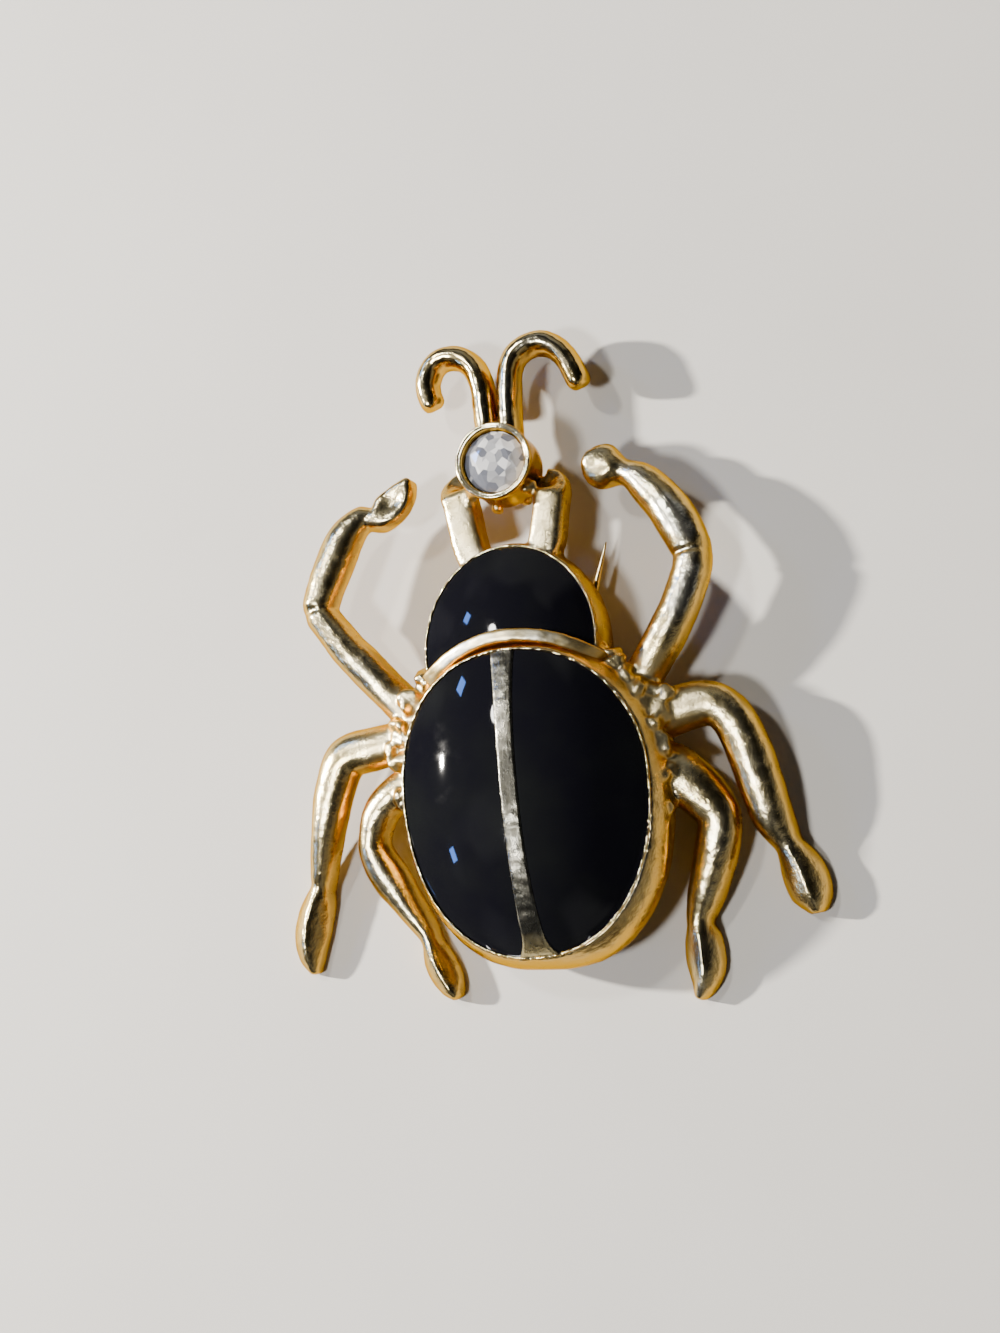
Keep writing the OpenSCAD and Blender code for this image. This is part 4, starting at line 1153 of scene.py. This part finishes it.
class BROOCH_OT_stage(bpy.types.Operator):
    """Pale floor, soft lights and camera"""

    bl_idname = "brooch.stage"
    bl_label = "Stage"

    def execute(self, context):
        scene = context.scene
        _, _, finish = sizes()
        plan = Plan()
        half, low = 0.6, CAD_BOX[0][2]
        mesh = bpy.data.meshes.new("floor")
        mesh.from_pydata([(-half, -half, low), (half, -half, low), (half, half, low), (-half, half, low)],
                         [], [(0, 1, 2, 3)])
        floor = bpy.data.objects.new("floor", mesh)
        scene.collection.objects.link(floor)
        material, tree, shader = new_material("pale floor")
        cloud = remap(tree, noise_value(tree, object_place(tree), 40, 3), 0.3, 0.7)
        fill(tree, shader, {"Base Color": mix_colour(tree, cloud, finish.floor, (0.55, 0.53, 0.50, 1)),
                            "Roughness": 0.7})
        mesh.materials.append(material)
        self.surroundings(scene)
        middle = plan.origin + Vector((0, 0.005, 0.004))
        for name, (place, *lamp) in LIGHTS.items():
            self.light(name, middle + Vector(place), middle, *lamp)
        self.camera(scene, plan)
        return {"FINISHED"}

    def surroundings(self, scene):
        """A dim room: pale patches over a dark ceiling, for the metal to mirror."""
        world = bpy.data.worlds.new("studio")
        world.use_nodes = True
        tree = world.node_tree
        patches = noise_value(tree, add(tree, "TexCoord").outputs["Generated"], 1.7, 1.0, 0.4)
        tone = mix_colour(tree, remap(tree, patches, 0.52, 0.62), (0.012, 0.012, 0.012, 1),
                          (0.55, 0.55, 0.54, 1))
        fill(tree, tree.nodes["Background"], {"Color": tone, "Strength": 0.48})
        scene.world = world

    def light(self, name, place, aim, size, power, tint, shape):
        lamp = bpy.data.lights.new(name, "AREA")
        lamp.shape = shape
        lamp.size = size
        lamp.energy = power
        lamp.color = tint
        holder = bpy.data.objects.new(name, lamp)
        holder.location = place
        holder.rotation_euler = (aim - place).to_track_quat("-Z", "Y").to_euler()
        bpy.context.scene.collection.objects.link(holder)

    def camera(self, scene, plan):
        """The photograph's viewpoint: 127 mm away and 20 degrees off the vertical."""
        lens = bpy.data.cameras.new("camera")
        lens.sensor_fit = "VERTICAL"
        lens.sensor_height = 36.0
        lens.lens = 51.3
        lens.clip_start = 0.01
        lens.clip_end = 5.0
        camera = bpy.data.objects.new("camera", lens)
        right = Vector((0.9449, -0.0891, -0.3151)).normalized()
        back = Vector((0.2974, -0.1693, 0.9396)).normalized()
        up = back.cross(right).normalized()
        right = up.cross(back)
        place = plan.origin + Vector((0.0360, -0.0120, 0.1220))
        camera.matrix_world = Matrix.Translation(place) @ Matrix((right, up, back)).transposed().to_4x4()
        scene.collection.objects.link(camera)
        scene.camera = camera


def fitting(name, outline, thick, across, out, centre, hole=None):
    """A flat fitting: places across and up, as thick as given along out, with softened edges."""
    made = bmesh.new()

    def line(shape, shift):
        return [made.verts.new(centre + across * u + Vector((0, 0, w)) + out * shift) for u, w in shape]

    front, back = line(outline, thick / 2), line(outline, -thick / 2)
    walls = [(front, back)]
    if hole:
        front_in, back_in = line(hole, thick / 2), line(hole, -thick / 2)
        walls += [(back_in, front_in), (front_in, front), (back, back_in)]
    else:
        made.faces.new(front)
        made.faces.new(back[::-1])
    count = len(outline)
    for a, b in walls:
        for i in range(count):
            j = (i + 1) % count
            made.faces.new((a[i], a[j], b[j], b[i]))
    bmesh.ops.recalc_face_normals(made, faces=made.faces)
    sharp = [edge for edge in made.edges if edge.calc_face_angle(0.0) > 0.7]
    bmesh.ops.bevel(made, geom=sharp, offset=0.00005, segments=2, profile=0.5, affect="EDGES")
    piece = new_piece(name, *taken(made), smooth=False, origin=Vector((0, 0, 0)))
    paint(piece, gold_material("fitting gold"))
    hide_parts("casting")


class BROOCH_OT_pin(bpy.types.Operator):
    """Hinge ears and catch on the back, and the finish of rivet and pin"""

    bl_idname = "brooch.pin"
    bl_label = "Pin and fittings"

    def execute(self, context):
        plan = Plan()
        pin = context.scene.brooch_pin
        along = Vector((math.sin(pin.turn), math.cos(pin.turn), 0))
        across = Vector((along.y, -along.x, 0))
        rivet = (RIVET_LOW + RIVET_HIGH) / 2
        self.ears(plan, pin, along, across, rivet)
        self.catch(plan, pin, along, across, rivet)
        material = gold_material("wire gold")
        for cad in ("hinge_rivet", "pin_stem"):
            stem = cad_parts[cad]
            stem.data.materials.clear()
            stem.data.materials.append(material)
        return {"FINISHED"}

    def under(self, dome, place, plan):
        """Height of the metal's middle under the enamel at a place."""
        spot = place - plan.origin
        return dome(spot.x, spot.y) - METAL_MIDDLE

    def ears(self, plan, pin, along, across, rivet):
        """Two ears with the rivet's bore, on a cast pad."""
        outline, hole = [], []
        for i in range(40):
            angle = 2 * math.pi * i / 40
            c, s = math.cos(angle), math.sin(angle)
            stretch = 1.0 if s <= 0 else min(1 / max(abs(c), 0.01), 2 / max(s, 0.01))
            outline.append((c * pin.ear_radius * stretch, s * pin.ear_radius * stretch))
            hole.append((c * pin.bore / 2, s * pin.bore / 2))
        for side, name in ((-1, "hinge_ear_left"), (1, "hinge_ear_right")):
            centre = rivet + across * side * (pin.ears_width - pin.ear_thickness) / 2
            fitting(name, outline, pin.ear_thickness, along, across, centre, hole)
        half, low = pin.ear_radius + 0.0002, 0.00125
        top = self.under(plan.wing_dome, rivet, plan) - rivet.z
        pad = [(-half, low), (half, low), (half, top), (-half, top)]
        fitting("hinge_pad", pad, pin.ears_width, along, across, rivet)

    def catch(self, plan, pin, along, across, rivet):
        """A hook-shaped catch, open towards the table."""
        centre = rivet + along * pin.catch_at
        w, slot = pin.catch_half, pin.slot / 2
        low = -rivet.z
        top = self.under(plan.shield_dome, centre, plan) - rivet.z
        bore = slot + 0.00005
        start = -math.acos(slot / bore)
        round_bore = [(bore * math.cos(t), bore * math.sin(t))
                      for t in np.linspace(start, math.pi - start, 25)]
        outline = [(slot, low)] + round_bore + [
            (-slot, low), (-0.6 * w, low), (-w, 0.6 * low), (-w, 0.4 * w), (-0.72 * w, top),
            (0.72 * w, top), (w, 0.4 * w), (w, 0.6 * low), (0.6 * w, low)]
        fitting("catch_hook", outline, pin.catch_length, across, along, centre)


class BROOCH_PT_panel(bpy.types.Panel):
    """Lists the brooch's pieces"""

    bl_idname = "BROOCH_PT_panel"
    bl_label = "Beetle Brooch"
    bl_space_type = "VIEW_3D"
    bl_region_type = "UI"
    bl_category = "Brooch"

    def draw(self, context):
        layout = self.layout
        for name in GROUPS:
            group = getattr(context.scene, name)
            box = layout.box()
            for key in group.__annotations__:
                box.prop(group, key)
        for operator in OPERATORS:
            layout.operator(operator.bl_idname)


GROUPS = {"brooch_body": BROOCH_PG_body, "brooch_limbs": BROOCH_PG_limbs,
          "brooch_pin": BROOCH_PG_pin, "brooch_finish": BROOCH_PG_finish}
OPERATORS = (BROOCH_OT_casting, BROOCH_OT_rims, BROOCH_OT_collar, BROOCH_OT_stripe, BROOCH_OT_enamels,
             BROOCH_OT_head, BROOCH_OT_antennae, BROOCH_OT_pin, BROOCH_OT_stage)
CLASSES = (*GROUPS.values(), *OPERATORS, BROOCH_PT_panel)


def register():
    for made in CLASSES:
        bpy.utils.register_class(made)
    for name, group in GROUPS.items():
        setattr(bpy.types.Scene, name, bpy.props.PointerProperty(type=group))


def unregister():
    for name in GROUPS:
        delattr(bpy.types.Scene, name)
    for made in reversed(CLASSES):
        bpy.utils.unregister_class(made)


def main():
    register()
    bpy.ops.brooch.stage()
    bpy.ops.brooch.casting()
    bpy.ops.brooch.rims()
    bpy.ops.brooch.collar()
    bpy.ops.brooch.stripe()
    bpy.ops.brooch.enamels()
    bpy.ops.brooch.head()
    bpy.ops.brooch.antennae()
    bpy.ops.brooch.pin()


if __name__ == "__main__":
    main()
